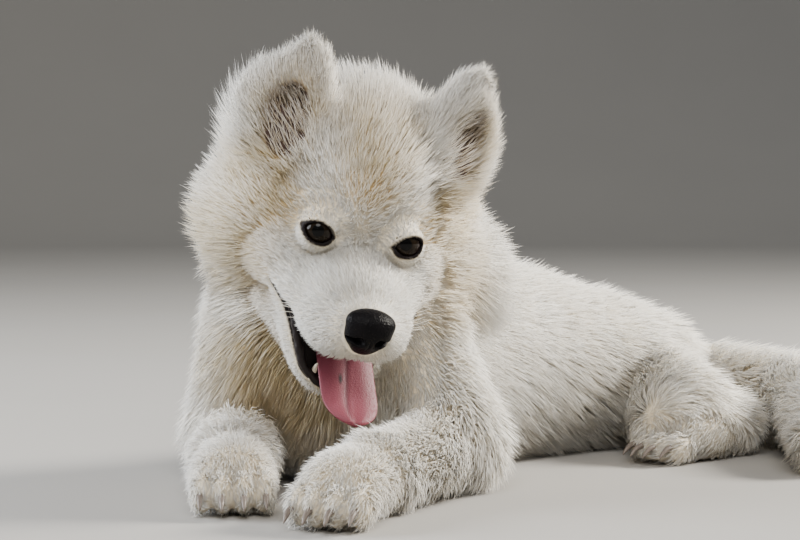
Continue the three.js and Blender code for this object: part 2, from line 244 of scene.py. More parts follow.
def mirrored(station):
    """A station of the left hind leg, mirrored in the upright plane through the pelvis."""
    away = np.array(station[:2], float) - PELVIS
    heading = np.array([math.sin(math.radians(PELVIS_TURN)), math.cos(math.radians(PELVIS_TURN))])
    x, y = PELVIS + 2 * (away @ heading) * heading - away
    return (x, y, *station[2:])


LEG_LENGTHS = {
    ("fore", "left"): {
        "upper_arm": [(12, -92, 80, 42, 44), lying(40, -92, 40, 72)],
        "forearm": [lying(38, -96, 36, 62), lying(54, -142, 31, 56), lying(66, -192, 29, 50)],
    },
    ("fore", "right"): {
        "upper_arm": [(-72, -128, 98, 52, 56), lying(-101, -128, 42, 74)],
        "forearm": [lying(-98, -131, 37, 63), lying(-70, -164, 31, 56), lying(-38, -202, 29, 50)],
    },
    ("hind", "left"): {
        "thigh": [lying(6, 170, 44, 88), lying(48, 146, 40, 74)],
        "shank": [lying(54, 120, 28, 58), lying(70, 170, 27, 52)],
        "foot": [lying(74, 176, 18, 34), lying(70, 136, 22, 34)],
    },
}
LEG_LENGTHS["hind", "right"] = {
    part: [mirrored(station) for station in stations]
    for part, stations in LEG_LENGTHS["hind", "left"].items()
}

# Each paw: where it starts and the way its toes point
PAWS = {
    ("fore", "left"): ((66, -198), (26, -66)),
    ("fore", "right"): ((-34, -206), (50, -52)),
    ("hind", "left"): ((70, 138), (-6, -46)),
}
HIND_TOE_END = mirrored((64, 92))
HIND_INSTEP = mirrored((70, 138))
PAWS["hind", "right"] = (HIND_INSTEP, tuple(np.subtract(HIND_TOE_END, HIND_INSTEP)))

LENGTH_DEPTH = {"upper_arm": 18, "forearm": 12, "thigh": 19, "shank": 12, "foot": 7}
LENGTH_LIFT = {"upper_arm": 42, "forearm": 32, "thigh": 48, "shank": 36, "foot": 26}

TAIL = [
    (-14, 208, 56, 30, 38),
    lying(8, 238, 34, 90),
    lying(64, 248, 37, 78),
    lying(120, 212, 41, 70),
    lying(158, 158, 38, 62),
    lying(172, 112, 24, 44),
]
TRUNK = [
    lying(-38, -74, 74, 172),
    lying(-50, -16, 74, 167),
    lying(-54, 40, 72, 152),
    lying(-50, 100, 69, 134),
    lying(-36, 158, 68, 118),
    lying(-20, 196, 54, 108),
]


def paw_size(end):
    return FORE_PAW if end == "fore" else HIND_PAW


def toe_spots(size):
    """Where each toe is, in the paw's frame: x across and the toes towards -y."""
    for toe in range(TOES):
        place = (toe + 0.5) / TOES * 2 - 1
        yield place * size["half_width"] * 0.88, 9 * place ** 2 - size["length"]


def paw_axes(end, side):
    start, aim = PAWS[end, side]
    angle = math.degrees(math.atan2(aim[0], -aim[1]))
    return np.array([start[0], start[1], 0.0]), turn_about("Z", angle)


def paw_forms(end, side):
    """The paw's outline and its skin: pads and toes, with the skin cleft between the toes."""
    size = paw_size(end)
    half_width, height, length = size["half_width"], size["height"], size["length"]
    origin, axes = paw_axes(end, side)
    sole = limb(lying(0, 0, 0.96 * half_width, height), lying(0, 26 - length, half_width, height))
    toes = [
        egg((x, y, 0.34 * height), (0.26 * half_width, 0.5 * half_width, 0.42 * height))
        for x, y in toe_spots(size)
    ]
    outline = blend(3, sole, *toes)
    knuckles = [
        egg((0.92 * x, y + 3, 0.27 * height), (0.25 * half_width, 0.5 * half_width, 0.27 * height))
        for x, y in toe_spots(size)
    ]
    skin = blend(7, deeper(sole, 8), *[deeper(knuckle, 1.5) for knuckle in knuckles])
    local = lambda form: lambda points: form((points - origin) @ axes)
    return local(outline), local(skin)


FAR = 300.0
MARGIN = 45.0


def near_only(form, centre, reach):
    """The same form, worked out only within a distance, to save time."""

    def bounded(points):
        level = np.full(len(points), FAR)
        near = ((points - centre) ** 2).sum(1) < reach ** 2
        if near.any():
            level[near] = form(points[near])
        return level

    return bounded


class Part:
    """A part of the body: its outline at the tips of the coat, its skin and its coat."""

    def __init__(self, coat, outline, skin, lie, lift, width, spots):
        spots = np.atleast_2d(np.array(spots, float))
        centre = spots[:, :3].mean(0)
        reach = np.linalg.norm(spots[:, :3] - centre, axis=1).max() + spots[:, 3:].max() + MARGIN
        self.coat = coat
        self.outline = near_only(outline, centre, reach)
        self.skin = near_only(skin, centre, reach)
        self.lie = lie
        self.lift = lift
        self.width = width


def eye_centre(side):
    return np.array([side * EYE_SPACING / 2, EYE_DEPTH, 0.0])


def eye_axes(side):
    """Columns: along the lids to the outer corner, up across the lids, and outwards."""
    out = np.array([side * LID_AIM[0], LID_AIM[1], LID_AIM[2]])
    out /= np.linalg.norm(out)
    slant = math.radians(LID_SLANT)
    along = np.array([side * math.cos(slant), 0.0, math.sin(slant)])
    along -= (along @ out) * out
    along /= np.linalg.norm(along)
    up = np.cross(along, out) * -side
    if up[2] < 0:
        up = -up
    return np.stack([along, up, out], 1)


def almond(side, half_width, high, low, outer=0.0):
    """An almond about the eye, as a prism that opens outwards."""
    centre, axes = eye_centre(side), eye_axes(side)
    upper = (half_width ** 2 + high ** 2) / (2 * high)
    lower = (half_width ** 2 + low ** 2) / (2 * low)

    def form(points):
        along, up, out = ((points - centre) @ axes).T
        along = along - outer
        top = np.hypot(along, up + upper - high) - upper
        bottom = np.hypot(along, up - lower + low) - lower
        return np.maximum(np.maximum(top, bottom), -out)

    return form


def lid_opening(side):
    return almond(side, LID_HALF_WIDTH, UPPER_LID, LOWER_LID)


def lid_rim(side):
    """The black skin round the lids, pointed at the outer corner and blunt at the inner one."""
    pointed = almond(side, LID_HALF_WIDTH + 2.9, UPPER_LID + 1.5, LOWER_LID + 1.9, outer=0.4)
    centre, axes = eye_centre(side), eye_axes(side)

    def form(points):
        along, up, out = ((points - centre) @ axes).T
        reach = np.hypot(along + BLUNT_END["inwards"], up + BLUNT_END["down"])
        blunt = np.maximum(reach - BLUNT_END["radius"], -out)
        return np.minimum(pointed(points), blunt)

    return form


def ear_turn(side):
    turns = (turn_about("X", -14), turn_about("Y", side * 4), turn_about("Z", side * 24))
    return turns[0] @ turns[1] @ turns[2]


def ear_outline(side):
    turn = ear_turn(side)
    tip, shoulder = [(side * 50 + EAR_LEAN, 58, 88 - drop) for drop in (0, 15)]
    outer = blend(
        12,
        egg((side * 53, 52, 48), (33, 17, 34), turn),
        egg(shoulder, (17, 12, 17), turn),
        egg(tip, (9, 8, 11), turn),
    )
    return hollowed(5, outer, egg((side * 61 + EAR_LEAN, 33, 60), (14, 12, 24), turn))


def ear_hollow(side):
    turn = ear_turn(side)
    return egg((side * 56 + EAR_LEAN / 2, 40, 48), (13.5, 10, 23), turn)


def ear_skin(side):
    turn = ear_turn(side)
    tip = (side * 50 + EAR_LEAN, 57, 73)
    flap = blend(16, egg((side * 53, 51, 42), (27, 10, 30), turn), egg(tip, (9, 5, 12), turn))
    return hollowed(3, flap, ear_hollow(side))


def mouth_form(points):
    """The open mouth: a wedge between the lips, and a hollow behind it between the cheeks."""
    corner = np.array([0, MOUTH_CORNER[0], MOUTH_CORNER[1]], float)
    away = points - corner
    upper = away @ np.array([0, -math.sin(UPPER_LIP), math.cos(UPPER_LIP)])
    lower = away @ np.array([0, math.sin(LOWER_LIP), -math.cos(LOWER_LIP)])
    wedge = np.maximum(np.maximum(upper, lower), away[:, 1])
    throat = egg((0, 6, -52), (22, 24, 11))(points)
    return np.minimum(wedge, throat)


def head_outline(points):
    skull = blend(
        22,
        egg((0, 52, 9), (74, 60, 70)),
        *[egg((side * 54, 52, -22), (42, 44, 50)) for side in SIDES.values()],
        *[egg((side * 62, 66, 26), (30, 30, 34)) for side in SIDES.values()],
    )
    return skull(points)


def face_outline(points):
    face = blend(
        14,
        limb((0, 16, -28, 52, 26), (0, -18, -29, 37, 24), (0, -42, -30, 24, 18.5)),
        *[egg((side * 13, -40, -36), (17, 19, 15)) for side in SIDES.values()],
        *[egg((side * 38, 18, -28), (25, 22, 25)) for side in SIDES.values()],
    )
    return face(points)


def jaw_outline(points):
    jaw = blend(
        12,
        limb((0, 26, -60, 40, 27), (0, -14, -78, 26, 16)),
        limb((0, -14, -78, 26, 16), (0, -26, -87, 17, 12)),
    )
    return jaw(points)


skull_skin = blend(
    16,
    egg((0, 54, 4), (54, 54, 52)),
    *[egg((side * 42, 48, -24), (33, 34, 38)) for side in SIDES.values()],
    *[egg((side * 50, 60, 26), (20, 24, 27)) for side in SIDES.values()],
)
face_skin = blend(
    12,
    limb((0, 16, -28, 44, 22), (0, -18, -29, 31.5, 20), (0, -42, -30, 20.5, 15)),
    *[egg((side * 12.5, -40, -36), (13.5, 16, 12.5)) for side in SIDES.values()],
    *[egg((side * 34, 16, -26), (20, 17, 20)) for side in SIDES.values()],
    *[egg((side * 18.5, -24, -37), (11.5, 23, 11.5)) for side in SIDES.values()],
    *[egg((side * 30.5, 0, -34), (12, 18, 11)) for side in SIDES.values()],
)
jaw_skin = blend(
    10,
    limb((0, 26, -58, 35, 25), (0, -8, -71, 23, 15)),
    limb((0, -8, -71, 23, 15), (0, -24, -79, 16, 11)),
    *[limb((side * 31, 1, -45, 9, 9), (side * 15, -24, -72, 6.5, 8)) for side in SIDES.values()],
)


def body_parts():
    """Every part of the body, from the head to the tail, in the dog's own frame."""
    from_nose = away_from(NOSE_IN_BODY)
    skull_spot = (*head_to_body((0, 50, 0)), 100)
    face_spot = (*head_to_body((0, -15, -40)), 80)
    parts = [
        Part("coat_crown", on_head(head_outline), on_head(skull_skin), from_nose, 38, 1.0, skull_spot),
        Part("coat_face", on_head(face_outline), on_head(face_skin), from_nose, 20, 0.62, face_spot),
        Part("coat_face", on_head(jaw_outline), on_head(jaw_skin), from_nose, 24, 0.62, face_spot),
    ]
    for side in SIDES.values():
        lie = toward(HEAD_AXES @ np.array([side * 0.35, 0.1, 1.0]))
        spot = (*head_to_body((side * 53, 52, 55)), 60)
        forms = on_head(ear_outline(side)), on_head(ear_skin(side))
        parts.append(Part("coat_ears", *forms, lie, 24, 0.75, spot))
    ruff_turn = turn_about("Z", CHEST_TURN)
    ruff_lie = away_from(NOSE_IN_BODY, sag=0.4)
    for coat, form, depth in (
        ("coat_neck", limb((-40, -44, 126, 88, 64), (-36, -88, 146, 88, 82)), 27),
        ("coat_ruff", egg((-36, -112, 102), (92, 56, 72), ruff_turn), 22),
        ("coat_ruff", egg((-36, -116, 150), (88, 50, 68), turn_about("Z", 2 * CHEST_TURN)), 22),
        ("coat_ruff", egg((-30, -104, 58), (72, 46, 66), ruff_turn), 18),
    ):
        parts.append(Part(coat, form, deeper(form, depth), ruff_lie, 46, 1.1, (-36, -90, 110, 120)))
    lie = along_limb(*TRUNK, sag=0.45)
    for coat, stretch in (("coat_trunk", TRUNK[:4]), ("coat_rump", TRUNK[3:])):
        form = limb(*stretch)
        parts.append(Part(coat, form, deeper(form, 22), lie, 50, 1.2, stretch))
    for (end, side), lengths in LEG_LENGTHS.items():
        for name, stations in lengths.items():
            form = limb(*stations)
            skin = deeper(form, LENGTH_DEPTH[name])
            coat = "coat_" + ("hips" if name == "thigh" else end + "legs")
            width = 1.3 if name in ("upper_arm", "thigh") else 1.0
            lie = along_limb(*stations)
            parts.append(Part(coat, form, skin, lie, LENGTH_LIFT[name], width, stations))
        outline, skin = paw_forms(end, side)
        start, aim = PAWS[end, side]
        lie = toward((*aim, -20))
        parts.append(Part("coat_paws", outline, skin, lie, 26, 0.8, (*start, 20, 95)))
    tail = limb(*TAIL)
    lie = along_limb(*TAIL, sag=0.1)
    parts.append(Part("coat_tail", tail, deeper(tail, 20), lie, 47, 1.4, TAIL))
    return parts


PARTS = body_parts()
HEAD_PARTS = 5
MOUTH_SOFTNESS = 2.0


def head_without_mouth(head):
    level = smooth_min(11, skull_skin(head), face_skin(head))
    return smooth_min(4, level, jaw_skin(head))


def skin_form(points):
    """The whole skin: the parts joined with soft fillets, then the mouth, lids and floor cut."""
    head = np.asarray(body_to_head(points))
    level = None
    for part in PARTS[HEAD_PARTS:]:
        grown = part.skin(points)
        level = grown if level is None else smooth_min(14, level, grown)
    skull = head_without_mouth(head)
    for side in SIDES.values():
        lid = np.linalg.norm(head - eye_centre(side), axis=1) - LID_RADIUS
        skull = smooth_min(5, skull, lid)
    skull = -smooth_min(MOUTH_SOFTNESS, -skull, mouth_form(head))
    for side in SIDES.values():
        skull = smooth_min(7, skull, ear_skin(side)(head))
        skull = -smooth_min(1.6, -skull, lid_opening(side)(head))
        ball = np.linalg.norm(head - eye_centre(side), axis=1) - EYE_RADIUS - 0.15
        skull = np.maximum(skull, -ball)
    level = smooth_min(24, level, skull)
    return np.maximum(level, FLOOR_CLEARANCE + 0.6 - points[:, 2])


def outline_level(points):
    """The outline at the tips of the coat, over all parts."""
    return np.min([part.outline(points) for part in PARTS], axis=0)


# Surfaces from forms, on a grid whose cells are small where the shape is fine

def grid_lines(low, high, fine, coarse, focus, growth):
    count = max(1, round((focus[1] - focus[0]) / fine))
    lines = list(np.linspace(focus[0], focus[1], count + 1))
    step = fine
    while lines[-1] < high:
        step = min(coarse, step * growth)
        lines.append(lines[-1] + step)
    step = fine
    while lines[0] > low:
        step = min(coarse, step * growth)
        lines.insert(0, lines[0] - step)
    return np.array(lines)


def levels_on(form, lines, block=8):
    """The form's level on the grid, worked out only in blocks that its surface may cross."""
    middles, spans = [], []
    for axis in lines:
        starts = np.arange(0, len(axis), block)
        ends = np.minimum(starts + block, len(axis) - 1)
        middles.append((axis[starts] + axis[ends]) / 2)
        spans.append(axis[ends] - axis[starts])
    centres = np.stack(np.meshgrid(*middles, indexing="ij"), -1).reshape(-1, 3)
    spread = np.stack(np.meshgrid(*spans, indexing="ij"), -1).reshape(-1, 3)
    rough = form(centres)
    near = np.abs(rough) < 0.9 * np.linalg.norm(spread, axis=1) + 6
    counts = [len(middle) for middle in middles]
    shape = [len(axis) for axis in lines]

    def spread_out(values):
        values = values.reshape(counts)
        for axis in range(3):
            values = np.repeat(values, block, axis=axis)
        return values[: shape[0], : shape[1], : shape[2]]

    level = spread_out(rough).copy()
    wanted = np.nonzero(spread_out(near))
    points = np.stack([axis[index] for axis, index in zip(lines, wanted)], 1)
    level[wanted] = form(points)
    return level


def settle(form, points, reach, rounds=3):
    """Moves points down or up the form's slope until they lie on its surface."""
    start = points.copy()
    step = 0.05
    for _ in range(rounds):
        slope = np.stack([
            (form(points + step * axis) - form(points - step * axis)) / (2 * step)
            for axis in np.eye(3)], 1)
        steep = np.maximum((slope ** 2).sum(1), 0.1)
        points = points - (form(points) / steep)[:, None] * slope
    moved = points - start
    distance = np.linalg.norm(moved, axis=1)
    share = np.minimum(1, reach / np.maximum(distance, 1e-9))
    return start + moved * share[:, None]


def surface_of(form, lines):
    """Corners and squares of a form's surface: a corner in each cell that it crosses."""
    level = levels_on(form, lines)
    inside = level < 0
    cells = [slice(0, -1), slice(1, None)]
    steps = [(i, j, k) for i in (0, 1) for j in (0, 1) for k in (0, 1)]
    total = sum(inside[tuple(cells[n] for n in corner)].astype(np.int8) for corner in steps)
    crossed = np.nonzero((total > 0) & (total < 8))
    index = np.full(total.shape, -1, np.int64)
    index[crossed] = np.arange(len(crossed[0]))
    places = np.zeros((len(crossed[0]), 3))
    weight = np.zeros(len(crossed[0]))
    at = np.stack(crossed, 1)
    for start in steps:
        for axis in range(3):
            if start[axis]:
                continue
            end = tuple(n + (1 if a == axis else 0) for a, n in enumerate(start))
            from_cell = tuple((at + start).T)
            to_cell = tuple((at + end).T)
            a, b = level[from_cell], level[to_cell]
            hit = (a < 0) != (b < 0)
            share = np.where(hit, a / np.where(hit, a - b, 1), 0)
            low = np.stack([line[i] for line, i in zip(lines, from_cell)], 1)
            high = np.stack([line[i] for line, i in zip(lines, to_cell)], 1)
            places += np.where(hit[:, None], low + (high - low) * share[:, None], 0)
            weight += hit
    places /= weight[:, None]
    sizes = np.stack([np.diff(line)[i] for line, i in zip(lines, crossed)], 1)
    places = settle(form, places, 0.5 * sizes.min(1))
    squares = []
    for axis in range(3):
        here = [slice(1, -1)] * 3
        there = list(here)
        here[axis] = slice(0, -1)
        there[axis] = slice(1, None)
        first, second = inside[tuple(here)], inside[tuple(there)]
        found = np.stack(np.nonzero(first != second), 1)
        outwards = first[tuple(found.T)]
        found = found + np.array([0 if a == axis else 1 for a in range(3)])
        b, c = [(axis + 1) % 3, (axis + 2) % 3]
        ring = []
        for back, down in ((1, 1), (0, 1), (0, 0), (1, 0)):
            cell = found.copy()
            cell[:, b] -= back
            cell[:, c] -= down
            ring.append(index[tuple(cell.T)])
        ring = np.stack(ring, 1)
        squares.append(np.where(outwards[:, None], ring, ring[:, ::-1]))
    return places, np.concatenate(squares)


# Meshes

def clear_selection():
    for thing in bpy.context.selected_objects:
        thing.select_set(False)


def select_only(piece):
    clear_selection()
    piece.select_set(True)
    bpy.context.view_layer.objects.active = piece


def mesh_piece(name, points, faces):
    """A new object whose mesh has these corners, in metres, and faces of one number of sides."""
    mesh = bpy.data.meshes.new(name)
    sides = faces.shape[1]
    mesh.vertices.add(len(points))
    mesh.vertices.foreach_set("co", np.asarray(points, np.float32).ravel())
    mesh.loops.add(faces.size)
    mesh.loops.foreach_set("vertex_index", faces.astype(np.int32).ravel())
    mesh.polygons.add(len(faces))
    mesh.polygons.foreach_set("loop_start", np.arange(0, faces.size, sides, dtype=np.int32))
    mesh.update(calc_edges=True)
    mesh.validate()
    mesh.polygons.foreach_set("use_smooth", np.ones(len(faces), bool))
    piece = bpy.data.objects.new(name, mesh)
    bpy.context.scene.collection.objects.link(piece)
    return piece


def corners_of(mesh):
    points = np.zeros(len(mesh.vertices) * 3, np.float32)
    mesh.vertices.foreach_get("co", points)
    return points.reshape(-1, 3).astype(float)


def normals_of(mesh):
    normals = np.zeros(len(mesh.vertices) * 3, np.float32)
    mesh.vertices.foreach_get("normal", normals)
    return normals.reshape(-1, 3).astype(float)


def own_points(mesh):
    """A mesh's corners in the dog's own frame, in millimetres."""
    return corners_of(mesh) / MM - SHIFT


def add_values(mesh, name, values):
    attribute = mesh.attributes.new(name, "FLOAT", "POINT")
    attribute.data.foreach_set("value", np.asarray(values, np.float32))


def hand_over(piece, slot, *nodes):
    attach(piece, "root")
    if nodes:
        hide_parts(*nodes)


def swell(values, low, high):
    """0 below low, 1 above high and smooth between."""
    share = np.clip((values - low) / (high - low), 0, 1)
    return share * share * (3 - 2 * share)


# Masks over the skin and the coat

MOUTH_REGION = egg((-4, -22, -60), (56, 50, 44))


def near_mouth(head):
    """Distance from the open mouth, near the muzzle only."""
    return np.maximum(mouth_form(head), MOUTH_REGION(head))


def lip_mask(head):
    """1 on the black lips and inside the mouth."""
    return 1 - swell(near_mouth(head), 2.6, 4.2)


def lid_mask(head):
    """1 on the black rims of the lids."""
    nearer_eye = np.where(head[:, :1] < 0, eye_centre(-1), eye_centre(1))
    near = np.linalg.norm(head - nearer_eye, axis=1) < 1.25 * LID_RADIUS
    rims = np.minimum(*[lid_rim(side)(head) for side in SIDES.values()])
    return (1 - swell(rims, -0.5, 0.6)) * near


def ear_lining(head):
    """1 on the inside of the ears."""
    found = [ear_hollow(side)(head) for side in SIDES.values()]
    return (1 - swell(np.minimum(*found), 0, 2.2)) * swell(head[:, 2], 20, 30)


TAN_AND_SHADE_PLACES = [
    # Where the coat is tan, in the head's frame: place, radii and strength. The tan is partly the
    # coat's own biscuit colour and partly painted shade.
    ((0, 14, 46), (30, 50, 34), 0.8),
    ((58, 30, 6), (26, 44, 36), 0.9),
    ((-58, 30, 6), (26, 44, 36), 0.85),
    ((56, 34, -46), (40, 46, 52), 0.95),
    ((-58, 34, -46), (40, 46, 52), 1.0),
    ((0, 20, -112), (78, 60, 44), 0.95),
    ((62, 40, 48), (26, 30, 34), 0.7),
    ((-54, 40, 48), (26, 30, 34), 0.7),
]


def tan_and_shade_at(head):
    """How tan the coat is, from 0 on the white muzzle and legs to 1; the tan is partly the coat's own
    colour and partly painted shade.
    """
    tan_and_shade_share = np.full(len(head), 0.19)
    for place, radii, strength in TAN_AND_SHADE_PLACES:
        reach = np.sqrt((((head - np.array(place)) / np.array(radii)) ** 2).sum(1))
        tan_and_shade_share = np.maximum(tan_and_shade_share, strength * (1 - swell(reach, 0.35, 1.3)))
    mask = np.linalg.norm((head - np.array([0, -18, -26])) / np.array([46, 50, 44]), axis=1)
    return tan_and_shade_share * (0.1 + 0.9 * swell(mask, 0.8, 1.2))


# Materials

class Shader:
    """A material or a node group under construction, with short ways to add nodes."""

    def __init__(self, tree):
        self.tree = tree

    def node(self, kind, **settings):
        made = self.tree.nodes.new(kind)
        for name, value in settings.items():
            setattr(made, name, value)
        return made

    def feed(self, socket, value):
        if isinstance(value, bpy.types.NodeSocket):
            self.tree.links.new(value, socket)
        elif value is not None:
            socket.default_value = value

    def math(self, operation, first, second=None, third=None, clamp=False):
        made = self.node("ShaderNodeMath", operation=operation, use_clamp=clamp)
        for socket, value in zip(made.inputs, (first, second, third)):
            self.feed(socket, value)
        return made.outputs[0]

    def mix(self, share, first, second, how="MIX"):
        made = self.node("ShaderNodeMix", data_type="RGBA", blend_type=how)
        # the node's sockets 6, 7 and 2 are the ones for colours
        self.feed(made.inputs["Factor"], share)
        self.feed(made.inputs[6], first)
        self.feed(made.inputs[7], second)
        return made.outputs[2]

    def value(self, name):
        return self.node("ShaderNodeAttribute", attribute_name=name).outputs["Fac"]

    def place(self):
        return self.node("ShaderNodeTexCoord").outputs["Object"]

    def noise(self, scale, detail):
        made = self.node("ShaderNodeTexNoise")
        self.feed(made.inputs["Vector"], self.place())
        made.inputs["Scale"].default_value = scale
        made.inputs["Detail"].default_value = detail
        return made.outputs["Fac"]

    def cells(self, scale):
        made = self.node("ShaderNodeTexVoronoi")
        self.feed(made.inputs["Vector"], self.place())
        made.inputs["Scale"].default_value = scale
        return made.outputs["Distance"]

    def bump(self, height, strength, distance):
        made = self.node("ShaderNodeBump")
        self.feed(made.inputs["Height"], height)
        made.inputs["Strength"].default_value = strength
        made.inputs["Distance"].default_value = distance
        return made.outputs["Normal"]


def new_material(name):
    material = bpy.data.materials.new(name)
    material.use_nodes = True
    tree = material.node_tree
    surface = tree.nodes["Principled BSDF"]
    return material, Shader(tree), surface


def coat_colours():
    """Node group: the coat's colour from its tan share, its place along a tuft and its shade; the tan
    share is partly painted shade.
    """
    name = "Coat colour"
    if name in bpy.data.node_groups:
        return bpy.data.node_groups[name]
    group = bpy.data.node_groups.new(name, "ShaderNodeTree")
    for socket in ("Tan and shade share", "Along", "Shade"):
        group.interface.new_socket(name=socket, in_out="INPUT", socket_type="NodeSocketFloat")
    for socket in ("White", "Tan and shade colour"):
        group.interface.new_socket(name=socket, in_out="INPUT", socket_type="NodeSocketColor")
    group.interface.new_socket(name="Colour", in_out="OUTPUT", socket_type="NodeSocketColor")
    shader = Shader(group)
    given = shader.node("NodeGroupInput")
    result = shader.node("NodeGroupOutput")
    drift = shader.math("MULTIPLY_ADD", shader.noise(45, 2), 0.7, -0.35)
    tan_and_shade_share = shader.math("ADD", given.outputs["Tan and shade share"], drift, clamp=True)
    # painted shade: each tuft turns tan towards its root, where shade falls deep in the coat
    low = shader.math("MULTIPLY_ADD", given.outputs["Along"], -0.28, 0.28)
    tan_and_shade_share = shader.math("ADD", tan_and_shade_share, low, clamp=True)
    colour = shader.mix(tan_and_shade_share, given.outputs["White"], given.outputs["Tan and shade colour"])
    light = shader.math("MULTIPLY_ADD", given.outputs["Shade"], 0.16, 0.88)
    combine = shader.node("ShaderNodeCombineColor")
    for socket in combine.inputs[:3]:
        shader.feed(socket, light)
    shader.feed(result.inputs["Colour"], shader.mix(1.0, colour, combine.outputs[0], "MULTIPLY"))
    return group


def placed_coat_colour(shader, settings, along, shade):
    made = shader.node("ShaderNodeGroup")
    made.node_tree = coat_colours()
    shader.feed(made.inputs["Tan and shade share"], shader.value("tan_and_shade"))
    shader.feed(made.inputs["Along"], along)
    shader.feed(made.inputs["Shade"], shade)
    shader.feed(made.inputs["White"], (*settings.white, 1))
    shader.feed(made.inputs["Tan and shade colour"], (*settings.tan, 1))
    return made.outputs["Colour"]


def coat_material(settings):
    found = bpy.data.materials.get("White coat")
    if found:
        return found
    material, shader, surface = new_material("White coat")
    colour = placed_coat_colour(shader, settings, shader.value("along"), shader.value("shade"))
    dark = shader.mix(shader.value("lining"), colour, (0.13, 0.085, 0.06, 1))
    shader.feed(surface.inputs["Base Color"], dark)
    surface.inputs["Roughness"].default_value = 0.72
    surface.inputs["Specular IOR Level"].default_value = 0.18
    surface.inputs["Subsurface Weight"].default_value = 0.6
    surface.inputs["Subsurface Radius"].default_value = (0.005, 0.0042, 0.0032)
    surface.inputs["Subsurface Scale"].default_value = 1.0
    surface.inputs["Sheen Weight"].default_value = 0.25
    surface.inputs["Sheen Roughness"].default_value = 0.5
    return material


def skin_material(settings):
    material, shader, surface = new_material("Skin")
    fine = shader.noise(900, 4)
    # the skin under the coat takes the coat's colour, painted shade included
    colour = placed_coat_colour(shader, settings, 0.2, fine)
    lining = shader.mix(shader.noise(260, 3), (0.045, 0.030, 0.026, 1), (0.13, 0.085, 0.07, 1))
    colour = shader.mix(shader.value("lining"), colour, lining)
    black = shader.mix(shader.noise(400, 2), (0.006, 0.005, 0.005, 1), (0.016, 0.012, 0.012, 1))
    colour = shader.mix(shader.value("bare"), colour, black)
    shader.feed(surface.inputs["Base Color"], colour)
    rough = shader.math("MULTIPLY_ADD", shader.value("bare"), -0.35, 0.8)
    surface.inputs["Specular IOR Level"].default_value = 0.07
    shader.feed(surface.inputs["Roughness"], rough)
    shader.feed(surface.inputs["Normal"], shader.bump(fine, 0.4, 0.0004))
    return material


# Settings that a user would change

class SkinSettings(bpy.types.PropertyGroup):
    cell: bpy.props.FloatProperty(
        name="Fine cell", description="Size of the skin's squares on the face, in millimetres",
        default=1.35, min=0.8, max=4)
    coarse_cell: bpy.props.FloatProperty(
        name="Coarse cell", description="Size of the skin's squares on the body, in millimetres",
        default=6.0, min=3, max=12)


class CoatSettings(bpy.types.PropertyGroup):
    white: bpy.props.FloatVectorProperty(
        name="White", description="Colour of the coat", subtype="COLOR", size=3,
        default=(0.94, 0.90, 0.79))
    # the tan colour serves both the biscuit patches and the painted shade
    tan: bpy.props.FloatVectorProperty(
        name="Tan and shade colour", description="Colour of the warm patches", subtype="COLOR", size=3,
        default=(0.62, 0.45, 0.22))
    fluff: bpy.props.FloatProperty(
        name="Fluff", description="How unevenly the hair runs", default=0.30, min=0, max=1)
    clumping: bpy.props.FloatProperty(
        name="Clumping", description="How far the tips draw together in locks",
        default=0.36, min=0, max=1, subtype="FACTOR")
    seed: bpy.props.IntProperty(name="Seed", description="Start of the random draws", default=11)


class StageSettings(bpy.types.PropertyGroup):
    floor: bpy.props.FloatVectorProperty(
        name="Floor", description="Colour of the floor", subtype="COLOR", size=3,
        default=(0.36, 0.35, 0.335))
    power: bpy.props.FloatProperty(
        name="Light", description="Power that each light gives its own part of", default=255, min=0,
        unit="POWER")
    lens: bpy.props.FloatProperty(
        name="Lens", description="Focal length of the camera", default=108, min=20, unit="CAMERA")
    azimuth: bpy.props.FloatProperty(
        name="Azimuth", description="Turn of the camera about the dog",
        default=math.radians(40), subtype="ANGLE")
    pitch: bpy.props.FloatProperty(
        name="Pitch", description="How far the camera looks down",
        default=math.radians(2.5), subtype="ANGLE")


# The skin

def skin_grid(settings):
    """Grid lines along the head's axes, fine round the face and ears and coarse on the body."""
    corners = np.array([[x, y, z] for x in (-190, 195) for y in (-295, 300) for z in (-10, 280)], float)
    head = body_to_head(corners)
    low, high = head.min(0) - 10, head.max(0) + 10
    focus = ((-46, 46), (-66, 22), (-98, 16))
    coarse = settings.coarse_cell
    return [
        grid_lines(low[axis], high[axis], settings.cell, coarse, focus[axis], growth=1.05)
        for axis in range(3)
    ]


class SAMOYED_OT_skin(bpy.types.Operator):
    """One skin over the whole body, with lids, lips, ears and toes"""
    bl_idname = "samoyed.skin"
    bl_label = "Skin"

    def execute(self, context):
        in_head = lambda head: skin_form(head_to_body(head))
        points, squares = surface_of(in_head, skin_grid(context.scene.samoyed_skin))
        piece = mesh_piece("skin", placed(head_to_body(points)), squares)
        select_only(piece)
        head = body_to_head(own_points(piece.data))
        bare = np.maximum(lip_mask(head), lid_mask(head))
        add_values(piece.data, "bare", bare)
        add_values(piece.data, "lining", ear_lining(head))
        add_values(piece.data, "tan_and_shade", tan_and_shade_at(head))
        piece.data.materials.append(skin_material(context.scene.samoyed_coat))
        hairless = ("eye_", "claw_", "nose", "tongue")
        flesh = [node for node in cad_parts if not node.startswith(hairless)]
        hand_over(piece, "coat", *flesh)
        print("skin", len(points), "corners", len(squares), "squares")
        return {"FINISHED"}


# The coat: tufts rooted in the skin

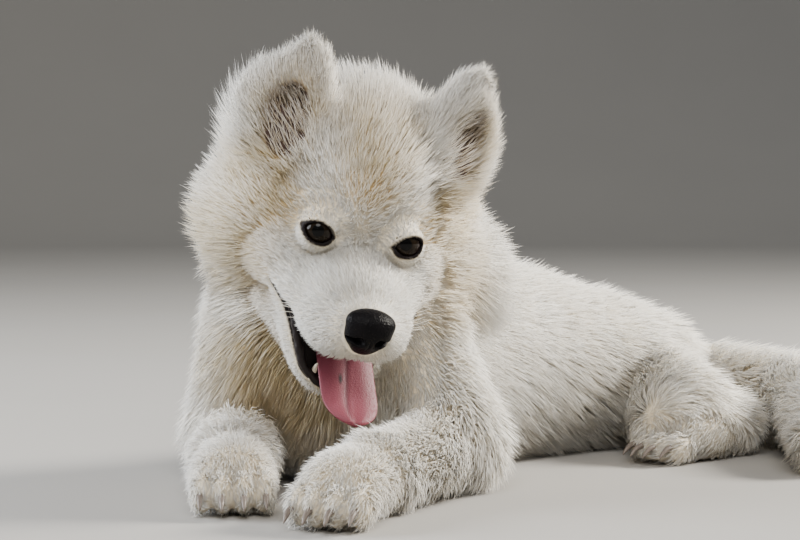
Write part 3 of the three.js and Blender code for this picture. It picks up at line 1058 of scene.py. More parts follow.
COAT_PLAN = {
    # Tufts in each piece, the longest hair and the share of locks
    "coat_face": (31000, 8, 0.2),
    "coat_crown": (19800, 38, 0.7),
    "coat_ears": (10500, 17, 0.4),
    "coat_ruff": (10000, 50, 1.0),
    "coat_neck": (11500, 50, 0.8),
    "coat_trunk": (19800, 46, 0.7),
    "coat_rump": (10500, 46, 0.7),
    "coat_hips": (7500, 42, 0.7),
    "coat_forelegs": (18500, 26, 0.7),
    "coat_hindlegs": (5500, 22, 0.6),
    "coat_paws": (14500, 12, 0.5),
    "coat_tail": (9500, 56, 1.0),
}


def part_levels(points):
    return np.stack([part.skin(points) for part in PARTS], 1)


def nearest_parts(points):
    return np.argmin(part_levels(points), axis=1)


def coat_lie(points, normals):
    """The way the hair runs over the skin at each point, blended between the parts."""
    levels = part_levels(points)
    shares = np.exp(-(levels - levels.min(1)[:, None]) / 7)
    way = np.zeros_like(points)
    lift = np.zeros(len(points))
    width = np.zeros(len(points))
    for share, part in zip(shares.T, PARTS):
        way += share[:, None] * part.lie(points)
        lift += share * part.lift
        width += share * part.width
    total = shares.sum(1)
    for side in SIDES.values():
        away = points - head_to_body(eye_centre(side))
        far = np.linalg.norm(away, axis=1)
        turned = (0.85 * (1 - swell(far, *EYE_WHORL)))[:, None]
        held = way / np.maximum(np.linalg.norm(way, axis=1), 1e-6)[:, None]
        way = held * (1 - turned) + away / far[:, None] * turned
    way -= (way * normals).sum(1)[:, None] * normals
    way /= np.maximum(np.linalg.norm(way, axis=1), 1e-6)[:, None]
    return way, np.radians(lift / total), width / total


EYE_WHORL = (13, 24)  # how far from an eye the hair runs away from it, fully and not at all


def wander(points, scale, seed):
    """A smooth random push at each point, made of a few waves."""
    rng = np.random.default_rng(seed)
    push = np.zeros_like(points)
    for _ in range(7):
        wave = rng.normal(size=3) / scale
        push += np.sin(points @ wave + rng.uniform(0, 2 * math.pi))[:, None] * rng.normal(size=3)
    return push / 3


def region_mesh(skin, wanted):
    """A copy of some of the skin's faces, unwrapped, and its triangles with their corners."""
    mesh = skin.data.copy()
    piece = bpy.data.objects.new("patch", mesh)
    bpy.context.scene.collection.objects.link(piece)
    select_only(piece)
    bpy.ops.object.mode_set(mode="EDIT")
    bpy.ops.mesh.select_all(action="DESELECT")
    bpy.ops.object.mode_set(mode="OBJECT")
    mesh.polygons.foreach_set("select", ~wanted)
    bpy.ops.object.mode_set(mode="EDIT")
    bpy.ops.mesh.delete(type="FACE")
    bpy.ops.mesh.select_all(action="SELECT")
    bpy.ops.uv.smart_project(angle_limit=math.radians(60), island_margin=0.004)
    bpy.ops.object.mode_set(mode="OBJECT")
    mesh.calc_loop_triangles()
    count = len(mesh.loop_triangles)
    corners = np.zeros(count * 3, np.int32)
    loops = np.zeros(count * 3, np.int32)
    mesh.loop_triangles.foreach_get("vertices", corners)
    mesh.loop_triangles.foreach_get("loops", loops)
    layer = np.zeros(len(mesh.loops) * 2, np.float32)
    mesh.uv_layers.active.data.foreach_get("uv", layer)
    corners, loops = corners.reshape(-1, 3), loops.reshape(-1, 3)
    result = (own_points(mesh), normals_of(mesh), corners, layer.reshape(-1, 2)[loops])
    bpy.data.objects.remove(piece)
    bpy.data.meshes.remove(mesh)
    return result


def scatter(region, count, rng):
    """Roots spread evenly over a region: places, normals and places on the unwrap."""
    points, normals, triangles, spots = region
    a, b, c = (points[triangles[:, n]] for n in range(3))
    area = np.linalg.norm(np.cross(b - a, c - a), axis=1) / 2
    steps = np.cumsum(area)
    picks = (np.arange(count) + rng.uniform(0, 1, count)) * steps[-1] / count
    chosen = np.minimum(np.searchsorted(steps, picks), len(area) - 1)
    first, second = rng.uniform(0, 1, (2, count))
    over = first + second > 1
    first[over], second[over] = 1 - first[over], 1 - second[over]
    share = np.stack([1 - first - second, first, second], 1)[:, :, None]
    place = (points[triangles[chosen]] * share).sum(1)
    normal = (normals[triangles[chosen]] * share).sum(1)
    normal /= np.linalg.norm(normal, axis=1)[:, None]
    return place, normal, (spots[chosen] * share).sum(1)


def gathered(roots, tips, spacing, strength, rng):
    """Draws the tips of neighbouring tufts together into locks."""
    count = max(8, int(len(roots) / spacing))
    middles = rng.choice(len(roots), count, replace=False)
    tree = kdtree.KDTree(count)
    for n, at in enumerate(middles):
        tree.insert(roots[at], n)
    tree.balance()
    owner = middles[[tree.find(root)[1] for root in roots]]
    return (tips[owner] - tips) * strength[:, None]


RING = 3
TUFT_STEPS = 2
TUFT_PROFILE = (0.85, 0.8)  # how wide a tuft is at each of its rings


def tuft_mesh(line, across, over, radii):
    """Closed tapering tufts: a base, rings of three corners and a tip."""
    count, steps = len(line), line.shape[1] - 1
    angles = np.arange(RING) * 2 * math.pi / RING + math.pi / 2
    rings = line[:, :steps, None] + radii[:, :, None, None] * (
        np.cos(angles)[None, None, :, None] * across[:, None, None]
        + 0.6 * np.sin(angles)[None, None, :, None] * over[:, None, None])
    corners = np.concatenate([rings.reshape(count, -1, 3), line[:, steps:]], 1)
    per = RING * steps + 1
    faces = [(2, 1, 0)]
    for step in range(steps - 1):
        for n in range(RING):
            a, b = step * RING + n, step * RING + (n + 1) % RING
            faces += [(a, b, b + RING), (a, b + RING, a + RING)]
    last = (steps - 1) * RING
    faces += [(last + n, last + (n + 1) % RING, per - 1) for n in range(RING)]
    faces = np.array(faces)[:, ::-1]
    indices = (faces[None] + per * np.arange(count)[:, None, None]).reshape(-1, 3)
    along = np.repeat([step / steps for step in range(steps)], RING)
    return corners, indices, np.append(along, 1.0)


def room_for_hair(head):
    """The longest hair that leaves the lids, the lips and the nose clear."""
    lids = np.min([np.linalg.norm(head - eye_centre(side), axis=1) for side in SIDES.values()], axis=0)
    rooms = (
        2.9 + 0.42 * np.maximum(lids - LID_RADIUS, 0),
        2.2 + 0.75 * np.maximum(near_mouth(head) - 2, 0),
        1.8 + 0.45 * np.maximum(nose_form(head), 0),
    )
    return np.min(rooms, axis=0)


def grow_tufts(name, roots, normals, spots, settings, rng):
    """Grows one piece of the coat from its roots."""
    way, lift, width = coat_lie(roots, normals)
    head = body_to_head(roots)
    depth = np.clip(-outline_level(roots), 2.6, 44)
    count = len(roots)
    drift = wander(roots, 16, settings.seed) + rng.normal(size=(count, 3)) * 0.5
    way = way + drift * settings.fluff
    way -= (way * normals).sum(1)[:, None] * normals
    way /= np.linalg.norm(way, axis=1)[:, None]
    _, longest, locks = COAT_PLAN[name]
    length = np.minimum(np.minimum(depth / np.sin(lift), longest), room_for_hair(head))
    if name == "coat_paws":
        length = np.maximum(length, 7)
    lift = np.maximum(lift, np.arcsin(np.clip(depth / np.maximum(length, 0.1), 0, 0.8)))
    lift = np.where(length < 0.8 * depth, np.radians(24), lift)
    lift = np.clip(lift + rng.normal(size=count) * 0.13, 0.12, 1.1)
    lifts = [lift * factor for factor in np.linspace(1.25, 0.7, TUFT_STEPS)]
    length = length * rng.uniform(0.7, 1.08, count)
    line = [roots - normals * np.minimum(0.8, 0.06 * length)[:, None]]
    for step, angle in enumerate(lifts):
        push = np.cos(angle)[:, None] * way + np.sin(angle)[:, None] * normals
        push[:, 2] -= 0.10 * step
        push += rng.normal(size=(count, 3)) * 0.07
        push /= np.linalg.norm(push, axis=1)[:, None]
        line.append(line[-1] + push * (length / TUFT_STEPS)[:, None])
    line = np.stack(line, 1)
    strength = np.full(count, settings.clumping * locks)
    pull = gathered(roots, line[:, -1], 14, strength, rng)
    shares = (np.arange(TUFT_STEPS + 1) / TUFT_STEPS) ** 1.5
    line += pull[:, None] * shares[None, :, None]
    clear = ~crosses_bare(line)
    line, way, normals, width = line[clear], way[clear], normals[clear], width[clear]
    head, spots, count = head[clear], spots[clear], int(clear.sum())
    across = np.cross(way, normals)
    over = np.cross(across, line[:, -1] - line[:, 0])
    over /= np.linalg.norm(over, axis=1)[:, None]
    thickness = rng.uniform(0.7, 1.15, count)[:, None]
    radii = 0.5 * width[:, None] * np.array(TUFT_PROFILE)[None] * thickness
    corners, faces, along = tuft_mesh(line, across, over, radii)
    corners[:, :, 2] = np.maximum(corners[:, :, 2], FLOOR_CLEARANCE - SHIFT[2])
    per = corners.shape[1]
    piece = mesh_piece(name, placed(corners.reshape(-1, 3)), faces)
    mesh = piece.data
    add_values(mesh, "along", np.tile(along, count))
    add_values(mesh, "shade", np.repeat(rng.uniform(0, 1, count), per))
    add_values(mesh, "tan_and_shade", np.repeat(tan_and_shade_at(head), per))
    add_values(mesh, "lining", np.repeat(ear_lining(head) * 0.75, per))
    patch_uv(mesh, spots, along, per)
    soften(mesh, corners, line, normals)
    mesh.materials.append(coat_material(settings))
    return piece


PATCH = 0.003


def patch_uv(mesh, spots, along, per):
    """Gives each tuft its own small patch at its root's place on the skin's unwrap."""
    layer = mesh.uv_layers.new(name="OFBake")
    ring = np.append(np.tile(np.arange(RING) / RING, (per - 1) // RING), 0.4)
    offset = (np.stack([ring, along], 1) - 0.5) * PATCH
    uv = spots[:, None] + offset[None]
    uv = np.clip(uv, 0, 1).reshape(-1, 2)
    loops = np.zeros(len(mesh.loops), np.int32)
    mesh.loops.foreach_get("vertex_index", loops)
    layer.data.foreach_set("uv", uv[loops].astype(np.float32).ravel())


def soften(mesh, corners, line, normals):
    """Turns the tufts' shading towards that of the body, as light spreads in a soft coat."""
    steps = line.shape[1] - 1
    middle = np.concatenate([np.repeat(line[:, :steps], RING, axis=1), line[:, steps:]], 1)
    out = corners - middle
    size = np.linalg.norm(out, axis=2)
    out = np.where(size[:, :, None] > 1e-6, out / np.maximum(size, 1e-6)[:, :, None], 0)
    blended = 0.7 * out + normals[:, None]
    blended /= np.linalg.norm(blended, axis=2)[:, :, None]
    mesh.normals_split_custom_set_from_vertices(blended.reshape(-1, 3))


def crosses_bare(line):
    """True for tufts that would cover the lids, the mouth or the nose."""
    crosses = np.zeros(len(line), bool)
    middle, tip = line[:, line.shape[1] // 2], line[:, -1]
    for place in (middle, (middle + tip) / 2, tip):
        head = body_to_head(place)
        crosses |= (lid_mask(head) > 0.3) | (near_mouth(head) < 2.0) | (nose_form(head) < -0.4)
    return crosses


def bare_places(roots):
    """True where no hair grows: lids, lips, mouth and nose."""
    head = body_to_head(roots)
    return (lid_mask(head) > 0.6) | (near_mouth(head) < 3.6) | (nose_form(head) < 0.6)


class SAMOYED_OT_coat(bpy.types.Operator):
    """The coat, in tufts that follow the lie of the hair, region by region"""
    bl_idname = "samoyed.coat"
    bl_label = "Coat"

    def execute(self, context):
        settings = context.scene.samoyed_coat
        skin = bpy.data.objects.get("skin")
        if skin is None:
            raise RuntimeError("the coat needs the skin, so make that first")
        mesh = skin.data
        centres = np.zeros(len(mesh.polygons) * 3, np.float32)
        mesh.polygons.foreach_get("center", centres)
        centres = centres.reshape(-1, 3).astype(float) / MM - SHIFT
        owner = nearest_parts(centres)
        names = sorted(COAT_PLAN)
        of_part = np.array([names.index(part.coat) for part in PARTS])
        region_of = of_part[owner]
        for number, name in enumerate(names):
            tufts = COAT_PLAN[name][0]
            rng = np.random.default_rng(settings.seed * 100 + number)
            region = region_mesh(skin, region_of == number)
            roots, normals, spots = scatter(region, tufts, rng)
            pressed = (roots[:, 2] < 14) & (normals[:, 2] < -0.75)
            keep = ~bare_places(roots) & ~(pressed & (rng.uniform(0, 1, tufts) < 0.7))
            sparse = ear_lining(body_to_head(roots)) > 0.5
            keep &= ~(sparse & (rng.uniform(0, 1, tufts) < 0.7))
            piece = grow_tufts(name, roots[keep], normals[keep], spots[keep], settings, rng)
            hand_over(piece, "coat")
            print(name, keep.sum(), "tufts", len(piece.data.polygons), "triangles")
        return {"FINISHED"}


# The nose

nose_form = blend(
    5,
    egg((0, -60, -24), (14, 9, 10.5)),
    egg((0, -58, -16.8), (14.8, 9, 7.2)),
    egg((0, -58, -33), (8, 6, 5.5)),
)


def fine_nose_form(points):
    """The nose with its nostrils and the groove between them."""
    level = nose_form(points)
    for side in SIDES.values():
        hole = egg((side * 6.2, -68.5, -25), (3.1, 6, 3.0))(points)
        slit = egg((side * 10.5, -65.5, -25.6), (5.0, 5.0, 1.3), turn_about("Y", side * 14))(points)
        level = -smooth_min(1.5, -level, smooth_min(1.5, hole, slit))
    groove = egg((0, -70, -30), (0.7, 2.2, 8))(points)
    return -smooth_min(0.8, -level, groove)


def nose_material():
    material, shader, surface = new_material("Nose leather")
    grain = shader.cells(900)
    tone = shader.mix(grain, (0.004, 0.004, 0.005, 1), (0.001, 0.001, 0.001, 1))
    worn = shader.mix(shader.noise(120, 2), tone, (0.007, 0.006, 0.007, 1))
    shader.feed(surface.inputs["Base Color"], worn)
    surface.inputs["Specular IOR Level"].default_value = 0.05
    rough = shader.math("MULTIPLY_ADD", shader.noise(220, 3), 0.3, 0.22)
    shader.feed(surface.inputs["Roughness"], rough)
    shader.feed(surface.inputs["Normal"], shader.bump(grain, 0.5, 0.0005))
    return material


class SAMOYED_OT_nose(bpy.types.Operator):
    """The nose, with nostrils and a groove"""
    bl_idname = "samoyed.nose"
    bl_label = "Nose"

    def execute(self, context):
        lines = [np.arange(low, high, 0.6) for low, high in ((-20, 20), (-74, -44), (-44, -6))]
        points, squares = surface_of(fine_nose_form, lines)
        piece = mesh_piece("nose_leather", placed(head_to_body(points)), squares)
        piece.data.materials.append(nose_material())
        hand_over(piece, "nose", "nose")
        return {"FINISHED"}


# The eyes

def eye_material():
    material, shader, surface = new_material("Eye")
    reach = shader.value("from_pupil")
    streaks = shader.noise(900, 3)
    iris = shader.mix(streaks, (0.004, 0.003, 0.002, 1), (0.014, 0.009, 0.005, 1))
    pupil = shader.math("LESS_THAN", reach, 3.4)
    colour = shader.mix(pupil, iris, (0.002, 0.002, 0.002, 1))
    past_iris = shader.math("SUBTRACT", reach, 6.8)
    edge = shader.math("MULTIPLY", past_iris, 1.6, clamp=True)
    colour = shader.mix(edge, colour, (0.012, 0.008, 0.007, 1))
    shader.feed(surface.inputs["Base Color"], colour)
    surface.inputs["Roughness"].default_value = 0.12
    surface.inputs["Specular IOR Level"].default_value = 0.03
    surface.inputs["Coat Weight"].default_value = 0.2
    surface.inputs["Coat Roughness"].default_value = 0.02
    return material


class SAMOYED_OT_eyes(bpy.types.Operator):
    """Dark eyes that look at the camera, each with a raised cornea"""
    bl_idname = "samoyed.eyes"
    bl_label = "Eyes"

    def execute(self, context):
        material = eye_material()
        camera = context.scene.camera
        if camera is None:
            raise RuntimeError("the eyes need the camera, so make the stage first")
        target = np.array(camera.location) / MM - SHIFT
        for name, side in SIDES.items():
            centre = head_to_body(eye_centre(side))
            clear_selection()
            bpy.ops.mesh.primitive_uv_sphere_add(segments=48, ring_count=32, radius=EYE_RADIUS * MM)
            piece = context.object
            piece.name = "eyeball_" + name
            gaze = (target - centre) / np.linalg.norm(target - centre)
            straight = HEAD_AXES @ eye_axes(side)[:, 2]
            gaze = 0.75 * gaze + 0.25 * straight
            gaze /= np.linalg.norm(gaze)
            points = corners_of(piece.data) / MM
            ahead = points @ gaze
            reach = np.linalg.norm(points - ahead[:, None] * gaze, axis=1)
            reach = np.where(ahead > 0, reach, EYE_RADIUS)
            points *= (1 + 0.05 * (1 - swell(reach, 3.5, 6.5)))[:, None]
            piece.location = (0, 0, 0)
            piece.data.vertices.foreach_set("co", placed(points + centre).astype(np.float32).ravel())
            add_values(piece.data, "from_pupil", reach)
            bpy.ops.object.shade_smooth()
            piece.data.materials.append(material)
            hand_over(piece, "eye", "eye_" + name)
        return {"FINISHED"}


# Tongue, teeth and claws

def curve_points(line, count):
    """Evenly spaced points on a smooth curve through the given ones."""
    line = np.array(line, float)
    padded = np.vstack([2 * line[0] - line[1], line, 2 * line[-1] - line[-2]])
    found = []
    for n in range(len(line) - 1):
        a, b, c, d = padded[n:n + 4]
        for t in np.linspace(0, 1, 12, endpoint=False):
            found.append(0.5 * (2 * b + (c - a) * t + (2 * a - 5 * b + 4 * c - d) * t ** 2
                                + (3 * b - a - 3 * c + d) * t ** 3))
    found = np.array([*found, line[-1]])
    lengths = np.concatenate([[0], np.cumsum(np.linalg.norm(np.diff(found, axis=0), axis=1))])
    even = np.linspace(0, lengths[-1], count)
    return np.stack([np.interp(even, lengths, found[:, axis]) for axis in range(3)], 1)


def lofted(rings):
    """Corners and squares of a closed loft over rings, with a pole at each end."""
    count, sides = rings.shape[:2]
    corners = np.concatenate([rings.reshape(-1, 3), rings[0].mean(0)[None], rings[-1].mean(0)[None]])
    first, last = count * sides, count * sides + 1
    faces = []
    for ring in range(count - 1):
        for n in range(sides):
            a, b = ring * sides + n, ring * sides + (n + 1) % sides
            faces.append((a, b, b + sides, a + sides))
    for n in range(sides):
        m = (n + 1) % sides
        end = (count - 1) * sides
        faces.append((first, m, n))
        faces.append((last, end + n, end + m))
    return corners, faces


def loft_piece(name, rings):
    corners, faces = lofted(rings)
    mesh = bpy.data.meshes.new(name)
    mesh.from_pydata([tuple(point) for point in placed(corners)], [], faces)
    mesh.update()
    piece = bpy.data.objects.new(name, mesh)
    bpy.context.scene.collection.objects.link(piece)
    select_only(piece)
    bpy.ops.object.mode_set(mode="EDIT")
    bpy.ops.mesh.select_all(action="SELECT")
    bpy.ops.mesh.normals_make_consistent(inside=False)
    bpy.ops.object.mode_set(mode="OBJECT")
    bpy.ops.object.shade_smooth()
    return piece


def tongue_material():
    material, shader, surface = new_material("Tongue")
    buds = shader.cells(1100)
    flesh = shader.mix(shader.noise(90, 3), (0.155, 0.029, 0.046, 1), (0.22, 0.052, 0.076, 1))
    # painted shade: the groove's crease is drawn as a dark line in the colour
    flesh = shader.mix(shader.value("groove"), flesh, (0.075, 0.012, 0.022, 1))
    flesh = shader.mix(shader.value("spot"), flesh, (0.022, 0.010, 0.014, 1))
    shader.feed(surface.inputs["Base Color"], flesh)
    rough = shader.math("MULTIPLY_ADD", buds, 0.35, 0.34)
    surface.inputs["Specular IOR Level"].default_value = 0.3
    shader.feed(surface.inputs["Roughness"], rough)
    surface.inputs["Subsurface Weight"].default_value = 0.15
    surface.inputs["Subsurface Radius"].default_value = (0.004, 0.0015, 0.001)
    shader.feed(surface.inputs["Normal"], shader.bump(buds, 0.35, 0.0004))
    return material


class SAMOYED_OT_tongue(bpy.types.Operator):
    """The tongue, out over the lower lip, with a shallow groove down its middle whose dark line is
    painted shade
    """
    bl_idname = "samoyed.tongue"
    bl_label = "Tongue"

    def execute(self, context):
        steps, sides = 44, 96
        line = curve_points(TONGUE_LINE, steps)
        rings, groove = [], []
        for n, centre in enumerate(line):
            t = n / (steps - 1)
            ahead = line[min(n + 1, steps - 1)] - line[max(n - 1, 0)]
            up = np.cross([1, 0, 0], ahead)
            up /= np.linalg.norm(up)
            if up[1] > 0 and up[2] < 0:
                up = -up
            end = max(0.03, 1 - (max(0, t - 0.70) / 0.30) ** 2.4) ** 0.5
            width = TONGUE_HALF_WIDTH * min(1, 0.8 + 0.6 * t) * end
            thick = (3.6 - 0.8 * t) * (0.35 + 0.65 * end)
            ring = []
            for side in range(sides):
                angle = 2 * math.pi * side / sides
                across, high = math.cos(angle), math.sin(angle)
                aside = across - GROOVE_START + GROOVE_DRIFT * t
                dent = math.exp(-(aside / GROOVE_WIDTH) ** 2)
                dip = GROOVE_DEPTH * dent * min(1, (1 - t) * 6)
                lobes = 0.5 * math.sin(math.pi * min(1, abs(across))) ** 2
                lift = lobes + 0.6 * across ** 2 + thick * high - (dip if high > 0 else 0)
                ring.append(centre + np.array([TONGUE_ASIDE + across * width, 0, 0]) + up * lift)
                # where the groove's painted shade lies, fading out towards the tip
                groove.append(dent * (high > 0) * min(1, (1 - t) * 8))
            rings.append(ring)
        piece = loft_piece("tongue_flesh", head_to_body(np.array(rings)))
        points = body_to_head(own_points(piece.data))
        spot = np.hypot(*(points - np.array(TONGUE_SPOT))[:, [0, 2]].T)
        add_values(piece.data, "groove", np.append(groove, [0, 0]) * 0.75)
        add_values(piece.data, "spot", 1 - swell(spot, 0.7, 1.7))
        piece.data.materials.append(tongue_material())
        hand_over(piece, "tongue", "tongue")
        return {"FINISHED"}


LIP_STEPS = 90


def lip_line(steepness, count=64):
    """The edge of a lip on the skin, from the right corner round the front to the left one."""
    corner = np.array([0, MOUTH_CORNER[0], MOUTH_CORNER[1]], float)
    reach = np.linspace(0, 90, 361)
    line = []
    for turn in np.radians(np.linspace(-80, 80, count)):
        ahead = -math.cos(turn) * np.array([0, math.cos(steepness), math.sin(steepness)])
        way = np.array([math.sin(turn), 0, 0]) + ahead
        points = corner + reach[:, None] * way
        inside = np.nonzero(head_without_mouth(points) < 0)[0]
        line.append(points[inside[-1]] - 0.7 * way)
    return np.array(line)


def lip_material():
    material, shader, surface = new_material("Lips")
    wrinkles = shader.noise(420, 4)
    colour = shader.mix(wrinkles, (0.005, 0.004, 0.004, 1), (0.018, 0.011, 0.011, 1))
    shader.feed(surface.inputs["Base Color"], colour)
    surface.inputs["Specular IOR Level"].default_value = 0.2
    shader.feed(surface.inputs["Roughness"], shader.math("MULTIPLY_ADD", wrinkles, 0.3, 0.25))
    shader.feed(surface.inputs["Normal"], shader.bump(wrinkles, 0.5, 0.0005))
    return material


class SAMOYED_OT_lips(bpy.types.Operator):
    """The black rims of the upper and the lower lip"""
    bl_idname = "samoyed.lips"
    bl_label = "Lips"

    def execute(self, context):
        lips = []
        for steepness, radius in ((UPPER_LIP, 1.7), (LOWER_LIP, 2.6)):
            line = curve_points(lip_line(steepness), LIP_STEPS)
            last = LIP_STEPS - 1
            rings = []
            for n, centre in enumerate(line):
                ahead = line[min(n + 1, last)] - line[max(n - 1, 0)]
                ahead /= np.linalg.norm(ahead)
                side = np.cross(ahead, [0, 0.5, 1])
                side /= np.linalg.norm(side)
                over = np.cross(side, ahead)
                size = radius * (1 + 0.12 * math.sin(n * 0.9) * math.sin(n * 0.37))
                size *= min(1, 0.3 + min(n, last - n) / 18)
                angles = np.arange(10) * math.pi / 5
                rings.append(centre + size * (
                    np.cos(angles)[:, None] * side + np.sin(angles)[:, None] * over))
            lips.append(loft_piece("lip", head_to_body(np.array(rings))))
        piece = joined(lips, "lips")
        piece.data.materials.append(lip_material())
        hand_over(piece, "lip")
        return {"FINISHED"}


def horn_rings(line, radius, sides=10, blunt=0.12):
    """Rings of a tapering horn along a line, as of a claw or a tooth."""
    rings = []
    for n, centre in enumerate(line):
        t = n / (len(line) - 1)
        ahead = line[min(n + 1, len(line) - 1)] - line[max(n - 1, 0)]
        ahead /= np.linalg.norm(ahead)
        side = np.cross(ahead, [0.3, 0.2, 0.9])
        side /= np.linalg.norm(side)
        over = np.cross(side, ahead)
        size = radius * max(blunt, math.sqrt(max(0, 1 - t ** 1.6)))
        angles = np.arange(sides) * 2 * math.pi / sides
        rings.append(centre + size * (np.cos(angles)[:, None] * side + np.sin(angles)[:, None] * over))
    return np.array(rings)


def joined(pieces, name):
    """One object of several."""
    clear_selection()
    for piece in pieces:
        piece.select_set(True)
    bpy.context.view_layer.objects.active = pieces[0]
    bpy.ops.object.join()
    pieces[0].name = name
    return pieces[0]


def tooth_material():
    material, shader, surface = new_material("Enamel")
    colour = shader.mix(shader.noise(300, 3), (0.80, 0.76, 0.66, 1), (0.72, 0.64, 0.50, 1))
    shader.feed(surface.inputs["Base Color"], colour)
    surface.inputs["Roughness"].default_value = 0.25
    surface.inputs["Coat Weight"].default_value = 0.3
    return material


class SAMOYED_OT_teeth(bpy.types.Operator):
    """The lower front teeth and canines that show in the open mouth"""
    bl_idname = "samoyed.teeth"
    bl_label = "Teeth"

    def execute(self, context):
        teeth = []
        for n in range(-3, 4):
            canine = abs(n) == 3
            x, y, root = n * 4.2, -33 if canine else -36, 6 - CHIN_DROP
            height = 13 if canine else 9
            line = np.array([(x, y - 1.5 * t ** 2, root + height * t) for t in np.linspace(0, 1, 8)])
            rings = horn_rings(line, 2.2 if canine else 1.7)
            teeth.append(loft_piece("tooth", head_to_body(rings)))
        piece = joined(teeth, "lower_teeth")
        piece.data.materials.append(tooth_material())
        hand_over(piece, "tooth")
        return {"FINISHED"}


def whisker_material():
    material, shader, surface = new_material("Whisker")
    colour = shader.mix(shader.noise(200, 2), (0.90, 0.87, 0.80, 1), (0.78, 0.72, 0.62, 1))
    shader.feed(surface.inputs["Base Color"], colour)
    surface.inputs["Roughness"].default_value = 0.45
    return material


WHISKER_ROWS = 3
WHISKERS_IN_ROW = 4


class SAMOYED_OT_whiskers(bpy.types.Operator):
    """Fine pale whiskers in rows on both sides of the muzzle"""
    bl_idname = "samoyed.whiskers"
    bl_label = "Whiskers"

    def execute(self, context):
        rng = np.random.default_rng(5)
        whiskers = []
        for side in SIDES.values():
            for n in range(WHISKER_ROWS * WHISKERS_IN_ROW):
                row, place = divmod(n, WHISKERS_IN_ROW)
                start = np.array([side * (20 + 2.2 * place), -42 + 4.6 * place, -26 - 3.4 * row])
                start += rng.normal(size=3) * 0.7
                outside = start + np.linspace(0, 12, 25)[:, None] * np.array([side, 0, 0])
                start = outside[np.argmin(np.abs(head_without_mouth(outside)))]
                way = np.array([side * 0.85, 0.5 + 0.12 * place, 0.12 - 0.16 * row])
                way += rng.normal(size=3) * 0.10
                length = rng.uniform(15, 26)
                line = np.array([
                    start + way * length * t + np.array([0, 0.2, -0.25]) * length * t ** 2
                    for t in np.linspace(0, 1, 9)])
                whiskers.append(loft_piece("whisker", head_to_body(horn_rings(line, 0.11, sides=4))))
        piece = joined(whiskers, "whiskers")
        piece.data.materials.append(whisker_material())
        hand_over(piece, "coat")
        return {"FINISHED"}


def claw_material():
    material, shader, surface = new_material("Claw horn")
    bands = shader.noise(500, 3)
    colour = shader.mix(bands, (0.10, 0.08, 0.07, 1), (0.22, 0.18, 0.15, 1))
    shader.feed(surface.inputs["Base Color"], colour)
    shader.feed(surface.inputs["Roughness"], shader.math("MULTIPLY_ADD", bands, 0.2, 0.3))
    shader.feed(surface.inputs["Normal"], shader.bump(bands, 0.2, 0.0003))
    return material


class SAMOYED_OT_claws(bpy.types.Operator):
    """Four curved claws on each paw"""
    bl_idname = "samoyed.claws"
    bl_label = "Claws"

    def execute(self, context):
        material = claw_material()
        for end, side in PAWS:
            size = paw_size(end)
            origin, axes = paw_axes(end, side)
            claws = []
            for x, y in toe_spots(size):
                start = y - 0.36 * size["half_width"]
                line = np.array([
                    (x, start - 11 * t, 12.5 - 6.5 * t ** 2) for t in np.linspace(0, 1, 10)])
                rings = horn_rings(line, 2.0)
                claws.append(loft_piece("claw", rings @ axes.T + origin))
            piece = joined(claws, f"claws_{end}_{side}")
            piece.data.materials.append(material)
            nodes = [f"claw_{end}_{side}_{toe + 1}" for toe in range(TOES)]
            hand_over(piece, "claw", *nodes)
        return {"FINISHED"}


# The stage

FLOOR_RADIUS = 4.4
FLOOR_TURNS = 10  # the steps in which the floor's edge curves up into a backdrop
TURN_RISE = 0.24
TURN_SPREAD = 0.055
WORLD_COLOUR = (0.94, 0.94, 0.92, 1)
WORLD_STRENGTH = 0.32
CAMERA_PLACE = [947.1, -1222.1, 197]
LIGHTS = (
    # Name, place, aim, size, share of the light setting, colour
    ("key", (1.3, -1.5, 1.7), (0, -0.1, 0.1), 1.4, 0.2, (1, 0.97, 0.93)),
    ("fill", (-1.6, -1.4, 1.0), (0, -0.1, 0.1), 1.6, 0.4, (0.93, 0.96, 1)),
    ("rim", (1.2, 1.8, 1.4), (0, 0, 0.12), 0.9, 0.7, (1, 0.95, 0.86)),
)


def area_light(name, place, aim, size, power, colour):
    bpy.ops.object.light_add(type="AREA", location=place)
    light = bpy.context.object
    light.name = name
    light.data.shape = "DISK"
    light.data.size = size
    light.data.energy = power
    light.data.color = colour
    light.rotation_euler = (Vector(aim) - Vector(place)).to_track_quat("-Z", "Y").to_euler()


def floor_material(settings):
    material, shader, surface = new_material("Pale floor")
    tone = tuple(0.94 * channel for channel in settings.floor)
    colour = shader.mix(shader.noise(3, 2), (*settings.floor, 1), (*tone, 1))
    shader.feed(surface.inputs["Base Color"], colour)
    surface.inputs["Roughness"].default_value = 0.9
    return material


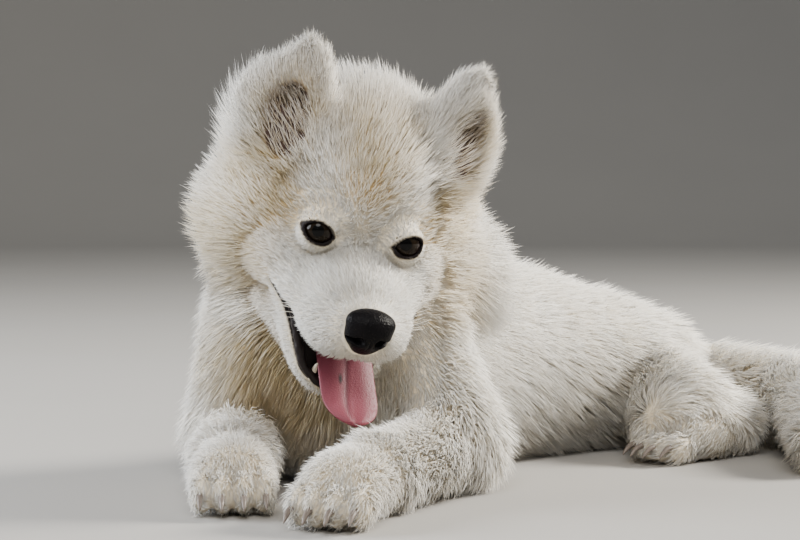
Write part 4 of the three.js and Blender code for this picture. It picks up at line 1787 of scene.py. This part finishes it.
class SAMOYED_OT_stage(bpy.types.Operator):
    """Floor, soft lights and the camera at the photo's angle"""
    bl_idname = "samoyed.stage"
    bl_label = "Stage"

    def execute(self, context):
        settings = context.scene.samoyed_stage
        clear_selection()
        bpy.ops.mesh.primitive_circle_add(vertices=96, radius=FLOOR_RADIUS, fill_type="NGON")
        floor = context.object
        floor.name = "floor"
        bpy.ops.object.mode_set(mode="EDIT")
        bpy.ops.mesh.select_all(action="SELECT")
        for n in range(FLOOR_TURNS):
            angle = math.pi / 2 * (n + 0.5) / FLOOR_TURNS
            bpy.ops.mesh.extrude_region_move(
                TRANSFORM_OT_translate={"value": (0, 0, TURN_RISE * math.sin(angle))})
            grow = 1 + TURN_SPREAD * math.cos(angle)
            bpy.ops.transform.resize(value=(grow, grow, 1))
        # the extruded face would be a lid over the dog
        bpy.ops.mesh.delete(type="ONLY_FACE")
        bpy.ops.object.mode_set(mode="OBJECT")
        bpy.ops.object.shade_smooth()
        floor.data.materials.append(floor_material(settings))
        for name, place, aim, size, share, colour in LIGHTS:
            area_light(name, place, aim, size, share * settings.power, colour)
        world = bpy.data.worlds.new("Studio")
        world.use_nodes = True
        background = world.node_tree.nodes["Background"]
        background.inputs["Color"].default_value = WORLD_COLOUR
        background.inputs["Strength"].default_value = WORLD_STRENGTH
        context.scene.world = world
        camera_data = bpy.data.cameras.new("camera")
        camera_data.lens = settings.lens
        camera_data.sensor_width = 36
        camera_data.clip_start = 0.05
        camera = bpy.data.objects.new("camera", camera_data)
        context.scene.collection.objects.link(camera)
        camera.location = placed(CAMERA_PLACE)
        camera.rotation_euler = Euler((math.pi / 2 - settings.pitch, 0, settings.azimuth))
        context.scene.camera = camera
        return {"FINISHED"}


class SAMOYED_PT_panel(bpy.types.Panel):
    """The steps in their order"""
    bl_label = "Samoyed"
    bl_idname = "SAMOYED_PT_panel"
    bl_space_type = "VIEW_3D"
    bl_region_type = "UI"
    bl_category = "Samoyed"

    def draw(self, context):
        for step in STEPS:
            self.layout.operator(step.bl_idname)
        for group in GROUPS:
            settings = getattr(context.scene, group)
            box = self.layout.box()
            for name in settings.__annotations__:
                box.prop(settings, name)


STEPS = (
    SAMOYED_OT_stage,
    SAMOYED_OT_skin,
    SAMOYED_OT_eyes,
    SAMOYED_OT_nose,
    SAMOYED_OT_lips,
    SAMOYED_OT_tongue,
    SAMOYED_OT_teeth,
    SAMOYED_OT_whiskers,
    SAMOYED_OT_claws,
    SAMOYED_OT_coat,
)
GROUPS = {
    "samoyed_skin": SkinSettings,
    "samoyed_coat": CoatSettings,
    "samoyed_stage": StageSettings,
}


def register():
    for made in (*GROUPS.values(), *STEPS, SAMOYED_PT_panel):
        bpy.utils.register_class(made)
    for name, group in GROUPS.items():
        setattr(bpy.types.Scene, name, bpy.props.PointerProperty(type=group))


def unregister():
    for name in GROUPS:
        delattr(bpy.types.Scene, name)
    for made in (SAMOYED_PT_panel, *reversed(STEPS), *GROUPS.values()):
        bpy.utils.unregister_class(made)


def main():
    register()
    clear_selection()
    for step in STEPS:
        family, name = step.bl_idname.split(".")
        getattr(getattr(bpy.ops, family), name)()


if __name__ == "__main__":
    main()
